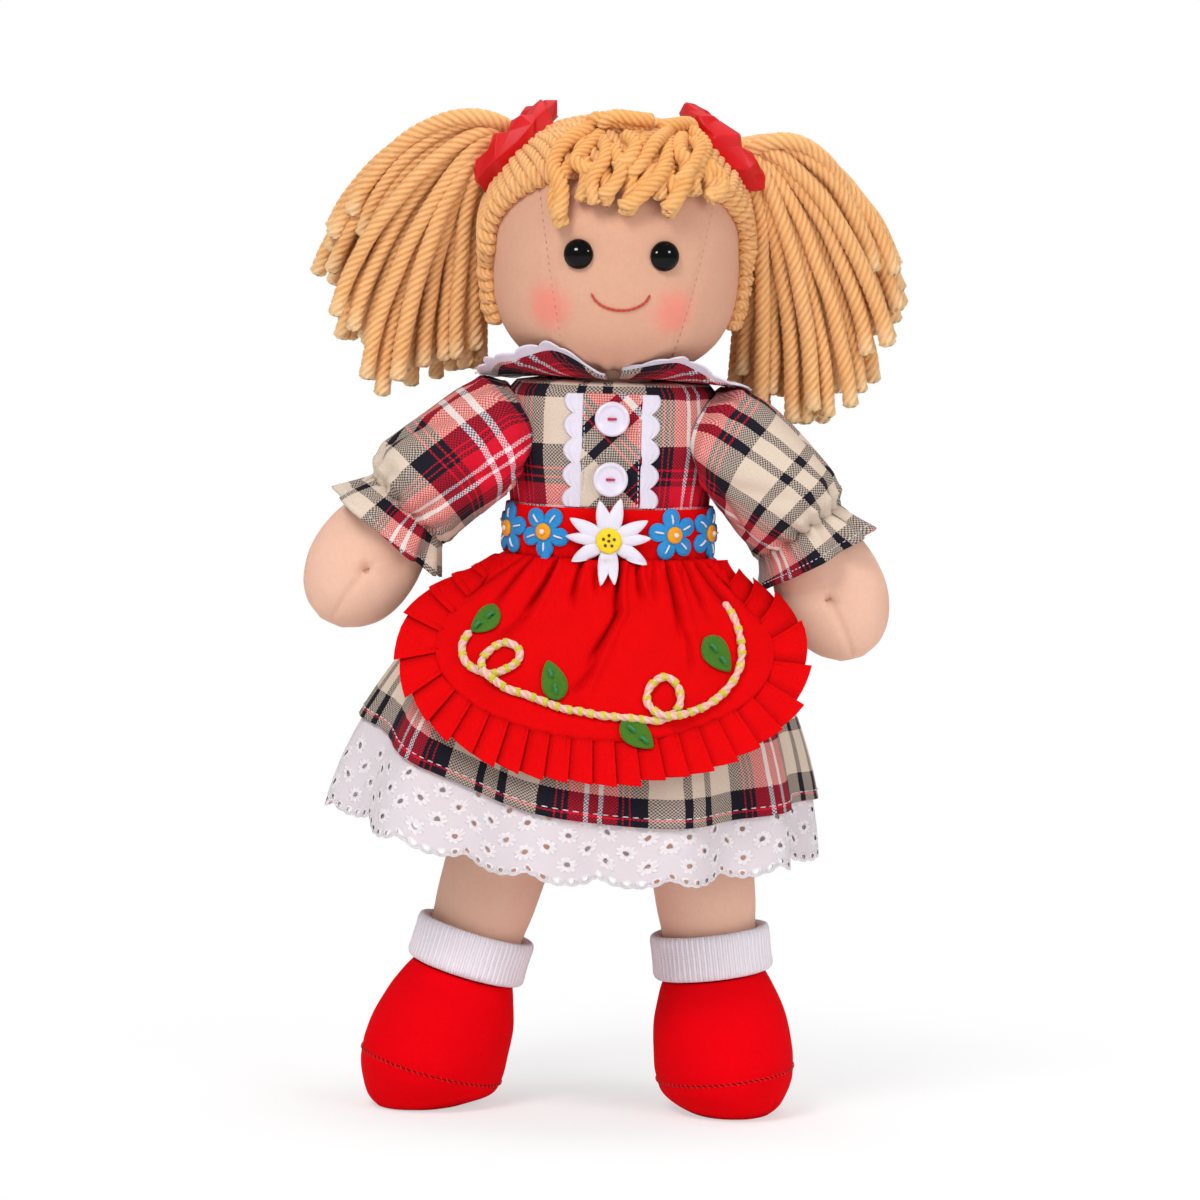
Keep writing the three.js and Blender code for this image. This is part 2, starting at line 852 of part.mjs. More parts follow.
function leafOutline(length, width, lean) {
  const steps = 10;
  return span(steps).map((i) => {
    const turn = (i / steps) * Math.PI * 2;
    const along = (Math.cos(turn) * length) / 2;
    const across = ((Math.sin(turn) * width) / 2) * (1 - 0.35 * Math.cos(turn));
    return [
      along * Math.sin(lean) + across * Math.cos(lean),
      along * Math.cos(lean) - across * Math.sin(lean),
    ];
  });
}

// The couched yarn on the apron: a low swag with a curl near each end, as shares of the panel
function vineRoute() {
  // across (share of the panel's half width) and down (share of its drop)
  const vineShares = [
    [-0.7, 0.4],
    [-0.77, 0.53],
    [-0.68, 0.62],
    [-0.5, 0.62],
    [-0.41, 0.5],
    [-0.52, 0.42],
    [-0.63, 0.5],
    [-0.52, 0.65],
    [-0.3, 0.74],
    [0, 0.79],
    [0.2, 0.79],
    [0.36, 0.74],
    [0.42, 0.62],
    [0.33, 0.53],
    [0.22, 0.6],
    [0.3, 0.74],
    [0.5, 0.72],
    [0.66, 0.6],
    [0.74, 0.44],
    [0.7, 0.26],
  ];
  return new THREE.CatmullRomCurve3(
    vineShares.map(([u, v]) => point((u * apronWidth) / 2, 0, -v * apronDrop)),
    false,
    "centripetal",
  );
}

function vine() {
  const route = vineRoute();
  const steps = 58;
  const flat = span(steps + 1).map((i) => route.getPointAt(i / steps));
  // the yarn climbs over itself where a curl crosses the swag
  const lifts = flat.map((p, i) => {
    const near = flat.findIndex(
      (q, j) => j < i - 8 && q.distanceTo(p) < vineThickness * 1.25,
    );
    return near >= 0 ? 1 : 0;
  });
  const smooth = lifts.map((_, i) => {
    const window = lifts.slice(Math.max(0, i - 2), i + 3);
    return Math.max(...window) * 0.5 + (window.reduce((s, v) => s + v, 0) / window.length) * 0.5;
  });
  const radius = vineThickness / 2;
  const centre = flat.map((p, i) =>
    onFront(p.x, apronTop + p.z, radius + seatGap + smooth[i] * (vineThickness + seatGap)),
  );
  const rings = centre.map((c, i) => {
    const ahead = centre[Math.min(steps, i + 1)];
    const behind = centre[Math.max(0, i - 1)];
    const way = ahead.clone().sub(behind).normalize();
    const side = new THREE.Vector3().crossVectors(way, point(0, -1, 0)).normalize();
    const out = new THREE.Vector3().crossVectors(side, way).normalize();
    return span(5).map((k) => {
      const turn = (k / 5) * Math.PI * 2;
      return c
        .clone()
        .addScaledVector(side, radius * Math.cos(turn))
        .addScaledVector(out, radius * Math.sin(turn));
    });
  });
  return skinned(rings);
}

// Stations down a limb that curves sideways: its angle from straight down eases from one to the other
function limbStation(side, angles, along) {
  const steps = 40;
  const at = point(0, 0, 0);
  let angle = THREE.MathUtils.degToRad(angles[0]);
  for (const i of span(steps)) {
    const share = (((i + 0.5) / steps) * along) / armLength;
    angle = THREE.MathUtils.degToRad(mix(angles[0], angles[1], share));
    at.x += side * Math.sin(angle) * (along / steps);
    at.z -= Math.cos(angle) * (along / steps);
  }
  return { at, angle };
}

// A ring square to a limb, with half sizes across it and through it
function limbRing(station, side, across, through, steps, wave = () => 0) {
  const spread = point(side * Math.cos(station.angle), 0, Math.sin(station.angle));
  return span(steps).map((i) => {
    const turn = (i / steps) * Math.PI * 2;
    const out = wave(turn);
    return station.at
      .clone()
      .addScaledVector(spread, (across + out) * Math.cos(turn))
      .add(point(0, (through + out) * Math.sin(turn), 0));
  });
}

// The angle of a ring that stands flat against the bodice side
const sideways = Math.PI / 2;

function arm(side, angles) {
  // distance along the arm, and half sizes as shares of the hand
  const armShares = [
    [0.1, 0.5, 0.62],
    [0.2, 0.6, 0.8],
    [0.33, 0.68, 0.92],
    [0.46, 0.75, 1],
    [0.56, 0.87, 1],
    [0.67, 0.99, 1],
    [0.78, 0.99, 0.98],
    [0.88, 0.84, 0.86],
    [0.95, 0.58, 0.62],
    [0.99, 0.24, 0.3],
  ];
  // how far down the arm its rings lean towards the bodice side
  const rootShare = 0.36;
  const root = shoulderRootWidth / 2;
  const inwards = shoulderPocket - seatGap;
  const rings = [-inwards, 0].map((x) =>
    limbRing({ at: point(side * x, 0, 0), angle: sideways }, side, root, root, limbSteps),
  );
  for (const [along, across, through] of armShares) {
    const station = limbStation(side, angles, along * armLength);
    const upright = ease(clamp01(1 - along / rootShare));
    station.angle = mix(station.angle, sideways, upright);
    station.at.x += side * armRootGap * upright;
    rings.push(
      limbRing(station, side, (across * handWidth) / 2, (through * handDepth) / 2, limbSteps),
    );
  }
  return skinned(rings);
}

// The puffed sleeve, gathered at the armhole and at the cuff
function sleeve(side, angles) {
  // share of the way to the cuff, swell as a share of the sleeve's puff
  const sleeveShares = [
    [0, 0],
    [0.16, 0.5],
    [0.36, 0.9],
    [0.58, 1],
    [0.8, 0.75],
    [0.93, 0.36],
    [1, 0],
  ];
  const underarmShare = 0.12;
  // how far the puff goes sideways and up
  const puffWayShares = [0.75, 0.66];
  const cuffRadius = (cuffShare * sleeveWidth) / 2;
  const end = limbStation(side, angles, cuffAlong);
  const steps = limbSteps + 4;
  const ring = ([t, puff], ply) => {
    // the root follows the round of the bodice
    const root = span(steps).map((i) => {
      const turn = (i / steps) * Math.PI * 2;
      const y = ((sleeveRootDepthShare * sleeveWidth) / 2 - ply) * Math.sin(turn);
      const z = ((sleeveRootShare * bodiceLength) / 2 - ply) * Math.cos(turn);
      const { a, b } = bodiceAt(shoulderHeight + z);
      const reach = a * Math.sqrt(1 - (y / b) ** 2) + seatGap * 2;
      return point(side * (reach - shoulderSide), y, z);
    });
    const cuff = limbRing(end, side, cuffRadius - ply, cuffRadius - ply, steps);
    return root.map((from, i) => {
      const turn = (i / steps) * Math.PI * 2;
      const upperShare = clamp01(0.5 + 0.75 * Math.cos(turn));
      const swell = puff * sleevePuff * mix(underarmShare, 1, upperShare);
      const [sideShare, riseShare] = puffWayShares;
      const outwards = point(
        side * Math.cos(turn) * sideShare,
        Math.sin(turn),
        Math.cos(turn) * riseShare,
      );
      return from
        .clone()
        .lerp(cuff[i], t)
        .addScaledVector(outwards, swell + puff * sleeveSides * Math.abs(Math.sin(turn)));
    });
  };
  return skinned(
    [
      ...sleeveShares.map((share) => ring(share, 0)),
      ...[...sleeveShares].reverse().map((share) => ring(share, cottonPly)),
    ],
    true,
  );
}

// The frill below the cuff's elastic
function cuffFrill(side, angles) {
  const start = (cuffShare * sleeveWidth) / 2;
  const ring = (t, ply) => {
    const station = limbStation(side, angles, cuffAlong + seatGap * 2 + t * frillLength);
    const radius = mix(start, frillWidth / 2, ease(t)) - ply;
    const wave = (turn) => t * frillWaveDepth * Math.cos(frillWaves * turn);
    return limbRing(station, side, radius, radius, frillWaves * 3, wave);
  };
  const outer = [0, 0.5, 1];
  return skinned(
    [...outer.map((t) => ring(t, 0)), ...[...outer].reverse().map((t) => ring(t, cottonPly))],
    true,
  );
}

// Things on a leg, each in the leg's own frame: the hip seam at zero, the floor below
function legLengthFor(lean) {
  return hipHeight / Math.cos(lean);
}

function hipRelief(lean) {
  const relief = cylinderAlong("x", hipSeamThickness / 2 + seatGap, thighWidth * 3);
  return relief.rotateY(-lean);
}

function leg(lean) {
  const length = legLengthFor(lean) - shoeHeight;
  // distance down the leg, half width and half depth as shares of the thigh
  const legShares = [
    [0.02, 0.76, 0.06],
    [0.07, 0.86, 0.25],
    [0.16, 0.97, 0.6],
    [0.3, 1, 0.88],
    [0.5, 0.98, 0.96],
    [0.72, 0.94, 0.94],
    [0.84, ankleWidth / thighWidth, ankleWidth / thighWidth],
    [1, ankleWidth / thighWidth, ankleWidth / thighWidth],
  ];
  const rings = legShares.map(([down, wide, deep]) =>
    ovalRing(limbSteps, -down * length, (wide * thighWidth) / 2, (deep * thighWidth) / 2),
  );
  return cut(skinned(rings), hipRelief(lean));
}

// A ribbed sock top, turned down over the ankle
function sockCuff(lean) {
  const bottom = -(legLengthFor(lean) - shoeHeight) + seatGap;
  const inner = ankleWidth / 2 + seatGap;
  const outer = sockWidth / 2;
  // out from the ankle, and up
  const sockShares = [
    [0, 0],
    [0.75, 0.02],
    [1, 0.16],
    [0.96, 0.5],
    [1, 0.86],
    [0.72, 1],
    [0.3, 0.97],
    [0, 0.84],
  ];
  const rings = sockShares.map(([out, up]) => {
    const radius = mix(inner, outer, out);
    return ovalRing(limbSteps + 4, bottom + up * sockHeight, radius, radius);
  });
  return skinned(rings, true);
}

// A ring of the foot, its toe turned out: below the seam it levels out, so that the sole meets the floor squarely
function footRing(drop, wide, long, forward, lean, toeOut, level = 0) {
  const top = -(legLengthFor(lean) - shoeHeight);
  const spread = point(Math.cos(lean * level), 0, Math.sin(lean * level));
  const outwards = (across, along) => [
    across * Math.cos(toeOut) - along * Math.sin(toeOut),
    across * Math.sin(toeOut) + along * Math.cos(toeOut),
  ];
  return span(limbSteps + 2).map((i) => {
    const turn = (i / (limbSteps + 2)) * Math.PI * 2;
    const [x, y] = outwards(
      ((wide * shoeWidth) / 2) * Math.cos(turn),
      ((long * shoeLength) / 2) * Math.sin(turn) - forward * shoeForward,
    );
    return point(0, y, top - drop * shoeHeight).addScaledVector(spread, x);
  });
}

function shoeUpper(lean, toeOut) {
  const seam = 1 - soleHeight / shoeHeight;
  // down the shoe as a share of the way to the seam, half width, half length, forward shift
  const upperShares = [
    [0.01, 0.74, 0.58, 0.1],
    [0.14, 0.82, 0.66, 0.3],
    [0.36, 0.92, 0.8, 0.65],
    [0.62, 0.985, 0.92, 0.9],
    [0.86, 1, 0.985, 1],
    [1, 0.985, 0.985, 1],
  ];
  return skinned(
    upperShares.map(([drop, wide, long, forward]) =>
      footRing(drop * seam, wide, long, forward, lean, toeOut),
    ),
  );
}

function shoeSole(lean, toeOut, hip) {
  const seam = 1 - soleHeight / shoeHeight;
  // down from the seam to the tread, half width, half length, how level
  const soleShares = [
    [0, 0.985, 0.985, 0],
    [0.26, 0.95, 0.955, 0.1],
    [0.52, 0.86, 0.88, 0.35],
    [0.78, 0.72, 0.77, 0.75],
    [1, 0.5, 0.58, 1],
  ];
  const deep = (soleHeight + soleFlat) / shoeHeight;
  const rings = soleShares.map(([drop, wide, long, level]) =>
    footRing(seam + seatGap / shoeHeight + drop * deep, wide, long, 1, lean, toeOut, level),
  );
  const floor = new THREE.BoxGeometry(shoeLength * 5, shoeLength * 5, shoeHeight);
  floor.translate(hip.position.x, 0, -shoeHeight / 2);
  floor.applyMatrix4(hip.matrixWorld.clone().invert());
  return cut(skinned(rings), floor);
}

// Yarn laid over the head, open at the face and cut off at the nape
function hairCap() {
  const face = new THREE.Shape();
  const steps = 28;
  for (const i of span(steps + 1)) {
    const turn = (i / steps) * Math.PI;
    const x = (hairOpeningWidth / 2) * Math.sign(Math.cos(turn)) * Math.abs(Math.cos(turn)) ** 0.85;
    const z = hairlineRise * Math.sin(turn) ** 0.85;
    if (i === 0) face.moveTo(x, z);
    else face.lineTo(x, z);
  }
  face.lineTo(-hairOpeningWidth / 2, -headHeight);
  face.lineTo(hairOpeningWidth / 2, -headHeight);
  face.closePath();
  const opening = new THREE.ExtrudeGeometry(face, { depth: headDepth, bevelEnabled: false });
  opening.rotateX(Math.PI / 2).translate(0, hairOpeningSetBack, 0);
  const nape = new THREE.BoxGeometry(headWidth * 2, headDepth * 2, headHeight);
  nape.translate(0, 0, -napeHeight - headHeight / 2);
  return cut(
    headForm(hairThickness, roundSteps, headLevels),
    headForm(seatGap, roundSteps, headLevels),
    opening,
    nape,
    hairTieClearance(-1, false),
    hairTieClearance(1, false),
  );
}

// A place on the head seen from the front, lifted squarely off its skin
function onHead(x, rise, lift) {
  const at = point(x, faceDepth(x, rise), rise);
  const out = point(
    at.x / (headWidth / 2) ** 2,
    at.y / (headDepth / 2) ** 2,
    at.z / (headHeight / 2) ** 2,
  ).normalize();
  return at.addScaledVector(out, lift);
}

// The tuft over the forehead, with a ragged lower edge
function fringe() {
  const columns = 16;
  const rows = 5;
  const top = headHeight / 2 - fringeTopInset;
  const tuft = (u) => 0.5 + 0.5 * Math.cos(u * fringeTufts * Math.PI);
  const drop = (u) => fringeDrop * (0.8 + 0.2 * tuft(u)) * Math.sqrt(1 - 0.7 * u * u);
  const sheet = (full) =>
    span(columns + 1).map((i) => {
      const u = mix(-1, 1, i / columns);
      return span(rows + 1).map((j) => {
        const t = j / rows;
        const x = fringeSideways + u * (fringeWidth / 2) * mix(0.5, 1, t);
        const swell = 0.3 + 0.7 * Math.sin((0.12 + 0.7 * t) * Math.PI);
        const edge = 1 - 0.5 * u ** 4;
        const body = fringeThickness * swell * edge * mix(0.85, 1, tuft(u));
        const lift = hairThickness + seatGap * 3 + (full ? body : 0);
        return onHead(x, top - t * drop(u), lift);
      });
    });
  return slab(sheet(true), sheet(false));
}

const bunchWay = (side) => point(side * Math.cos(bunchAngle), 0, Math.sin(bunchAngle));
// How far out along the bunch's way the tie sits: half sunk in the hair
const tieReach = (headWidth + headHeight) / 4 + hairThickness * 0.55 + tieThickness / 2;
const tieSeat = (side) =>
  bunchWay(side)
    .multiplyScalar(tieReach)
    .add(point(0, bunchSetBack, 0));

// The pleated tie round the root of a bunch, its axis standing out of the head
function hairTie(side) {
  const pleats = 7;
  const steps = pleats * 4;
  // radius from bore to rim, and place through the thickness
  const tieShares = [
    [0, -0.3],
    [0.9, -0.5],
    [1, -0.38],
    [0.55, 0],
    [0.96, 0.38],
    [0.9, 0.5],
    [0, 0.3],
  ];
  const rings = tieShares.map(([out, through]) =>
    span(steps).map((i) => {
      const turn = (i / steps) * Math.PI * 2;
      const radius = mix(tieBore / 2, tieDiameter / 2, out * (1 - 0.1 * Math.cos(pleats * turn)));
      const ripple = out * tieRipple * Math.sin(pleats * turn);
      return point(radius * Math.cos(turn), radius * Math.sin(turn), through * tieThickness + ripple);
    }),
  );
  return skinned(rings, true).rotateY(side * (Math.PI / 2 - bunchAngle));
}

// The space that a hair tie takes, with the yarn passing through its bore
function hairTieClearance(side, withBore) {
  const deep = tieThickness + (tieRipple + seatGap) * 2;
  let space = cylinderAlong("z", (tieDiameter / 2) * 1.1 + seatGap, deep, limbSteps + 4);
  if (withBore) space = cut(space, cylinderAlong("z", tieBore / 2 - seatGap, deep * 2));
  space.rotateY(side * (Math.PI / 2 - bunchAngle));
  const seat = tieSeat(side);
  return space.translate(seat.x, seat.y, seat.z);
}

// A drooping bunch of yarn, fluted by its strands, cut ragged at the ends
function bunch(side) {
  const flutes = 8;
  // height from the arch to the tips, sideways shift, half width, half depth, setback
  const bunchShares = [
    [0, 0.82, 0.2, 0.3, 0],
    [0.03, 0.84, 0.46, 0.54, 0],
    [0.1, 0.89, 0.74, 0.8, 0.05],
    [0.22, 0.96, 0.93, 0.95, 0.15],
    [0.38, 1.01, 1, 1, 0.35],
    [0.56, 1.01, 0.98, 1, 0.6],
    [0.74, 0.96, 0.92, 0.92, 0.8],
    [0.88, 0.9, 0.8, 0.8, 0.95],
    [1, 0.88, 0.6, 0.6, 1],
  ];
  const steps = flutes * 3;
  const top = headHeight / 2 + bunchTopRise;
  const rings = bunchShares.map(([down, out, wide, deep, back], level) =>
    span(steps).map((i) => {
      const turn = (i / steps) * Math.PI * 2;
      const flute = 1 + 0.045 * Math.cos(flutes * turn);
      const ragged = level === bunchShares.length - 1 ? bunchRagged * Math.cos(5 * turn) : 0;
      const across = out * bunchOutset + ((wide * bunchWidth) / 2) * flute * Math.cos(turn);
      return point(
        side * across,
        bunchSetBack + back * bunchFallBack + ((deep * bunchDepth) / 2) * flute * Math.sin(turn),
        top - down * bunchLength + ragged,
      );
    }),
  );
  // the yarn leaves the head through the tie and arches over into the fall:
  // out along the tie's way, sideways and up in tie thicknesses, turn down, width
  const archShares = [
    [-0.55, 0, 0, 0, 1],
    [0.05, 0, 0, 0, 1],
    [0.55, 0, 0, 0, 1],
    [0.55, 0.6, -0.05, 0.75, 1.3],
    [0.55, 1.5, -0.7, 1.35, 1.9],
  ];
  const way = bunchWay(side);
  const arch = archShares.map(([out, across, up, bend, wide]) => {
    const at = tieSeat(side).addScaledVector(way, out * tieThickness);
    at.add(point(side * across * tieThickness, 0, up * tieThickness));
    const radius = (bunchRootWidth / 2) * wide;
    return limbRing({ at, angle: sideways + bunchAngle - bend }, side, radius, radius, 10);
  });
  return cut(
    joined(skinned(rings), skinned(arch)),
    headForm(hairThickness + seatGap, roundSteps, headLevels),
    hairTieClearance(side, true),
  );
}

// A black safety eye: a dome on a stem, held inside the head by a washer. Axis along Z, dome up
function safetyEye() {
  const radius = eyeDiameter / 2;
  const stem = eyeStemDiameter / 2;
  const profile = [new THREE.Vector2(0, -eyeStemLength), new THREE.Vector2(stem, -eyeStemLength)];
  profile.push(new THREE.Vector2(stem, 0), new THREE.Vector2(radius * 0.9, 0));
  for (const i of span(6)) {
    const turn = (i / 5) * (Math.PI / 2);
    profile.push(
      new THREE.Vector2(i === 5 ? 0 : radius * Math.cos(turn), radius * (0.12 + 0.62 * Math.sin(turn))),
    );
  }
  return new THREE.LatheGeometry(profile, smallSteps).rotateX(Math.PI / 2);
}

function eyeWasher() {
  const ring = [
    [eyeStemDiameter / 2 + seatGap / 2, 0],
    [eyeWasherDiameter / 2, 0],
    [eyeWasherDiameter / 2, eyeWasherThickness],
    [eyeStemDiameter / 2 + seatGap / 2, eyeWasherThickness],
    [eyeStemDiameter / 2 + seatGap / 2, 0],
  ].map(([x, y]) => new THREE.Vector2(x, y));
  return new THREE.LatheGeometry(ring, smallSteps).rotateX(Math.PI / 2);
}

const eyeSeat = (side) => {
  const x = (side * eyeSpacing) / 2;
  return point(x, faceDepth(x, 0) - seatGap, 0);
};
const washerDepth = eyeStemLength - eyeWasherThickness * 2;

// Turns an eye or its washer from facing up to facing out of the face
function toFace(geometry, side, inwards = 0) {
  const seat = eyeSeat(side);
  const lean = Math.atan2(seat.x / (headWidth / 2) ** 2, -seat.y / (headDepth / 2) ** 2);
  geometry.translate(0, 0, -inwards);
  geometry.rotateX(Math.PI / 2).rotateZ(lean);
  return geometry.translate(seat.x, seat.y, seat.z);
}

function head() {
  const pockets = [-1, 1].flatMap((side) => [
    toFace(
      cylinderAlong(
        "z",
        eyeStemDiameter / 2 + seatGap,
        (eyeStemLength + eyeStemClearance) * 2,
        smallSteps,
      ),
      side,
    ),
    toFace(
      cylinderAlong(
        "z",
        eyeWasherDiameter / 2 + seatGap,
        eyeWasherThickness + seatGap * 2,
        smallSteps,
      ),
      side,
      washerDepth - eyeWasherThickness / 2 + seatGap,
    ),
  ]);
  const neckSocket = neckForm(seatGap).translate(0, 0, neckBase + seatGap - headCentre);
  return cut(headForm(0, roundSteps, headLevels), neckSocket, ...pockets);
}

// The stitched smile, laid on the face
function mouth() {
  const steps = 12;
  const radius = mouthThread / 2;
  const rings = span(steps + 1).map((i) => {
    const u = mix(-1, 1, i / steps);
    const x = (u * mouthWidth) / 2;
    const rise = -mouthBelowEyes - mouthDrop * Math.sqrt(1 - 0.96 * u * u) + mouthDrop * 0.2;
    const at = point(x, faceDepth(x, rise) - radius - seatGap, rise);
    return { at, angle: Math.atan2(u * mouthDrop * 1.4, mouthWidth / 2) };
  }).map(({ at, angle }) =>
    span(5).map((k) => {
      const turn = (k / 5) * Math.PI * 2;
      return at
        .clone()
        .add(
          point(
            -radius * Math.cos(turn) * Math.sin(angle),
            radius * Math.sin(turn),
            radius * Math.cos(turn) * Math.cos(angle),
          ),
        );
    }),
  );
  return skinned(rings);
}

// The dressed body
const doll = new THREE.Group();
doll.add(named("torso", torso(), finish("skin")));
const seam = named("hip_seam", hipSeam(), finish("skin"));
seam.position.set(0, 0, hipHeight);
doll.add(seam);

doll.add(named("bodice", bodice(), finish("plaid")));
doll.add(named("placket", placket(), finish("plaid")));
doll.add(named("placket_braid_right", ricRac(-1), finish("white")));
doll.add(named("placket_braid_left", ricRac(1), finish("white")));
doll.add(named("button_upper", buttonOnPlacket(upperButton), finish("plastic", 0.4)));
doll.add(named("button_lower", buttonOnPlacket(lowerButton), finish("plastic", 0.4)));
for (const [side, word] of [
  [-1, "right"],
  [1, "left"],
]) {
  doll.add(named("collar_" + word, collar(side), finish("plaid")));
  doll.add(named("collar_braid_" + word, collarTrim(side), finish("white")));
}

doll.add(named("petticoat", skirtLayer(petticoatHem, 0, eyeletPly, 5), finish("white")));
doll.add(named("dress_skirt", skirtLayer(skirtHem, skirtOver, cottonPly, 5), finish("plaid")));
doll.add(named("waistband", waistband(), finish("red")));
doll.add(named("apron_panel", apron(), finish("red")));
doll.add(named("apron_ruffle", apronRuffle(), finish("red")));
doll.add(named("apron_vine", vine(), finish("vine")));

// Felt leaves: across and down the panel as shares, and how each one leans
const leafPlaceShares = [
  [-0.7, 0.32, 2.2],
  [-0.31, 0.61, 2.75],
  [0.61, 0.47, 2.7],
  [0.16, 0.92, 2.3],
];
leafPlaceShares.forEach(([u, v, lean], i) => {
  const outline = leafOutline(leafLength, leafWidth, lean);
  const x = (u * apronWidth) / 2;
  const leaf = applique(outline, x, apronTop - v * apronDrop, seatGap, feltPly);
  doll.add(named("apron_leaf_" + (i + 1), leaf, finish("green")));
});

// Flowers along the waistband
const daisySeat = seatGap * 5;
const daisyPetals = petals(11, daisyDiameter, 0.5, 3, Math.PI);
doll.add(
  named("daisy", applique(daisyPetals, 0, daisyMiddle, daisySeat, feltPly), finish("white")),
);
const daisyRound = petals(1, daisyCentre, 1, 10);
const centreLift = seatGap * 2 + feltPly;
doll.add(
  named(
    "daisy_centre",
    applique(daisyRound, 0, daisyMiddle, daisySeat + feltPly + seatGap * 2, feltPly),
    finish("gold"),
  ),
);
const firstFlower = (daisyDiameter + flowerDiameter) / 2 + seatGap * 2;
const flowerArcs = [-firstFlower - flowerSpacing, -firstFlower, firstFlower, firstFlower + flowerSpacing];
flowerArcs.forEach((arc, i) => {
  const outline = petals(5, flowerDiameter, 0.5, 4, 0.1 + i * 0.5);
  const centre = petals(1, flowerCentre, 1, 8);
  const place = ["far_right", "right", "left", "far_left"][i];
  doll.add(
    named(
      "flower_" + place,
      applique(outline, arc, bandMiddle, seatGap, feltPly),
      finish("blue"),
    ),
  );
  doll.add(
    named(
      "flower_centre_" + place,
      applique(centre, arc, bandMiddle, centreLift, feltPly),
      finish("gold"),
    ),
  );
});

// Arms, legs
for (const [side, word, angles, tilt, toesOut] of [
  [-1, "right", rightArmAngles, rightLegTilt, rightToeOut],
  [1, "left", leftArmAngles, leftLegTilt, leftToeOut],
]) {
  const shoulder = new THREE.Group();
  shoulder.position.set(side * shoulderSide, 0, shoulderHeight);
  shoulder.add(named("arm_" + word, arm(side, angles), finish("skin")));
  shoulder.add(named("sleeve_" + word, sleeve(side, angles), finish("plaid")));
  shoulder.add(named("cuff_frill_" + word, cuffFrill(side, angles), finish("plaid")));
  doll.add(shoulder);

  const hip = new THREE.Group();
  hip.position.set(hipSideways + (side * hipSpacing) / 2, 0, hipHeight);
  hip.rotation.y = -side * tilt;
  hip.updateMatrixWorld(true);
  const lean = -side * tilt;
  hip.add(named("leg_" + word, leg(lean), finish("skin")));
  hip.add(named("sock_cuff_" + word, sockCuff(lean), finish("white")));
  const toeOut = side * toesOut;
  hip.add(named("shoe_upper_" + word, shoeUpper(lean, toeOut), finish("red")));
  hip.add(named("shoe_sole_" + word, shoeSole(lean, toeOut, hip), finish("red")));
  doll.add(hip);
}

// Head, eyes and hair
const neck = named("neck", neckForm(0), finish("skin"));
neck.position.set(0, 0, neckBase + seatGap);
doll.add(neck);
const headGroup = new THREE.Group();
headGroup.position.set(0, 0, headCentre);
headGroup.rotation.z = headTurn;
headGroup.add(named("head", head(), finish("skin")));
headGroup.add(named("mouth_thread", mouth(), finish("thread")));
headGroup.add(named("hair_cap", hairCap(), finish("yarn")));
headGroup.add(named("fringe", fringe(), finish("yarn")));
for (const [side, word] of [
  [-1, "right"],
  [1, "left"],
]) {
  headGroup.add(named("eye_" + word, toFace(safetyEye(), side), finish("black", 0.08)));
  const washer = toFace(eyeWasher(), side, washerDepth);
  headGroup.add(named("eye_washer_" + word, washer, finish("plastic", 0.4)));
  const tie = named("hair_tie_" + word, hairTie(side), finish("red"));
  const seat = tieSeat(side);
  tie.position.copy(seat);
  headGroup.add(tie);
  headGroup.add(named("hair_bunch_" + word, bunch(side), finish("yarn")));
}
doll.add(headGroup);

// The origin is on the floor, below the middle of the whole doll
doll.updateMatrixWorld(true);
const extent = new THREE.Box3().setFromObject(doll, true);
const middle = extent.getCenter(point(0, 0, 0));
doll.position.set(-middle.x, -middle.y, -extent.min.z);

export default doll;
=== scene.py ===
import math
import random

import bmesh
import bpy
import numpy as np
from mathutils import Matrix, Vector, noise


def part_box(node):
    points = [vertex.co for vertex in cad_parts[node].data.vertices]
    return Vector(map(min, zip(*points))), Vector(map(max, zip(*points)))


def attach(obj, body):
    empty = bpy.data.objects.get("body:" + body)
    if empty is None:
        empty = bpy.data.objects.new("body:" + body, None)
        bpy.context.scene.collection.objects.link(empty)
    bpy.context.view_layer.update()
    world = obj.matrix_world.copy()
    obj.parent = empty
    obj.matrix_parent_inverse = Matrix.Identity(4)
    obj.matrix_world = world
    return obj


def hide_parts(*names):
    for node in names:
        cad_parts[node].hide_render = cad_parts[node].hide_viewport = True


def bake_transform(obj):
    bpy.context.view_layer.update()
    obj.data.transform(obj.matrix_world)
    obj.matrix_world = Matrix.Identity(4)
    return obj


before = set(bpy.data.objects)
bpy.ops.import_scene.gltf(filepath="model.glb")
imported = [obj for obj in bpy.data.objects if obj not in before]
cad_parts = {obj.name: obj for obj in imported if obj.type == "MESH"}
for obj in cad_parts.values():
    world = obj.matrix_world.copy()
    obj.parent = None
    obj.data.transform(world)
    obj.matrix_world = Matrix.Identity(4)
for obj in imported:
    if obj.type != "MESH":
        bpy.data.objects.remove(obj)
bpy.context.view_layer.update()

# ---- Sizes of the doll, in millimetres, about its own middle line ----
MM = 0.001
HIP_HEIGHT = 140
TORSO_LENGTH = 106
NECK_BASE = HIP_HEIGHT + TORSO_LENGTH
SKIRT_TOP = 189.5
BODICE_TOP = NECK_BASE + 3.3
BODICE_BOTTOM = SKIRT_TOP + 0.3
HEAD_WIDTH, HEAD_DEPTH, HEAD_HEIGHT = 83.2, 78, 81
HEAD_CENTRE = NECK_BASE + 5.8 + HEAD_HEIGHT / 2
CHIN_FULLNESS, CROWN_FULLNESS = 3, 2.3
HEAD_TURN = math.radians(2.5)
EYE_DIAMETER, EYE_SPACING = 10.2, 28.4
BODICE_WIDTH, BODICE_DEPTH = 72.6, 50
SHOULDER_HEIGHT = 228.8
SHOULDER_SIDE = BODICE_WIDTH / 2 + 0.3
BAND_HEIGHT = 16.8
WAIST_WIDTH, WAIST_DEPTH = 62.8, 44.8
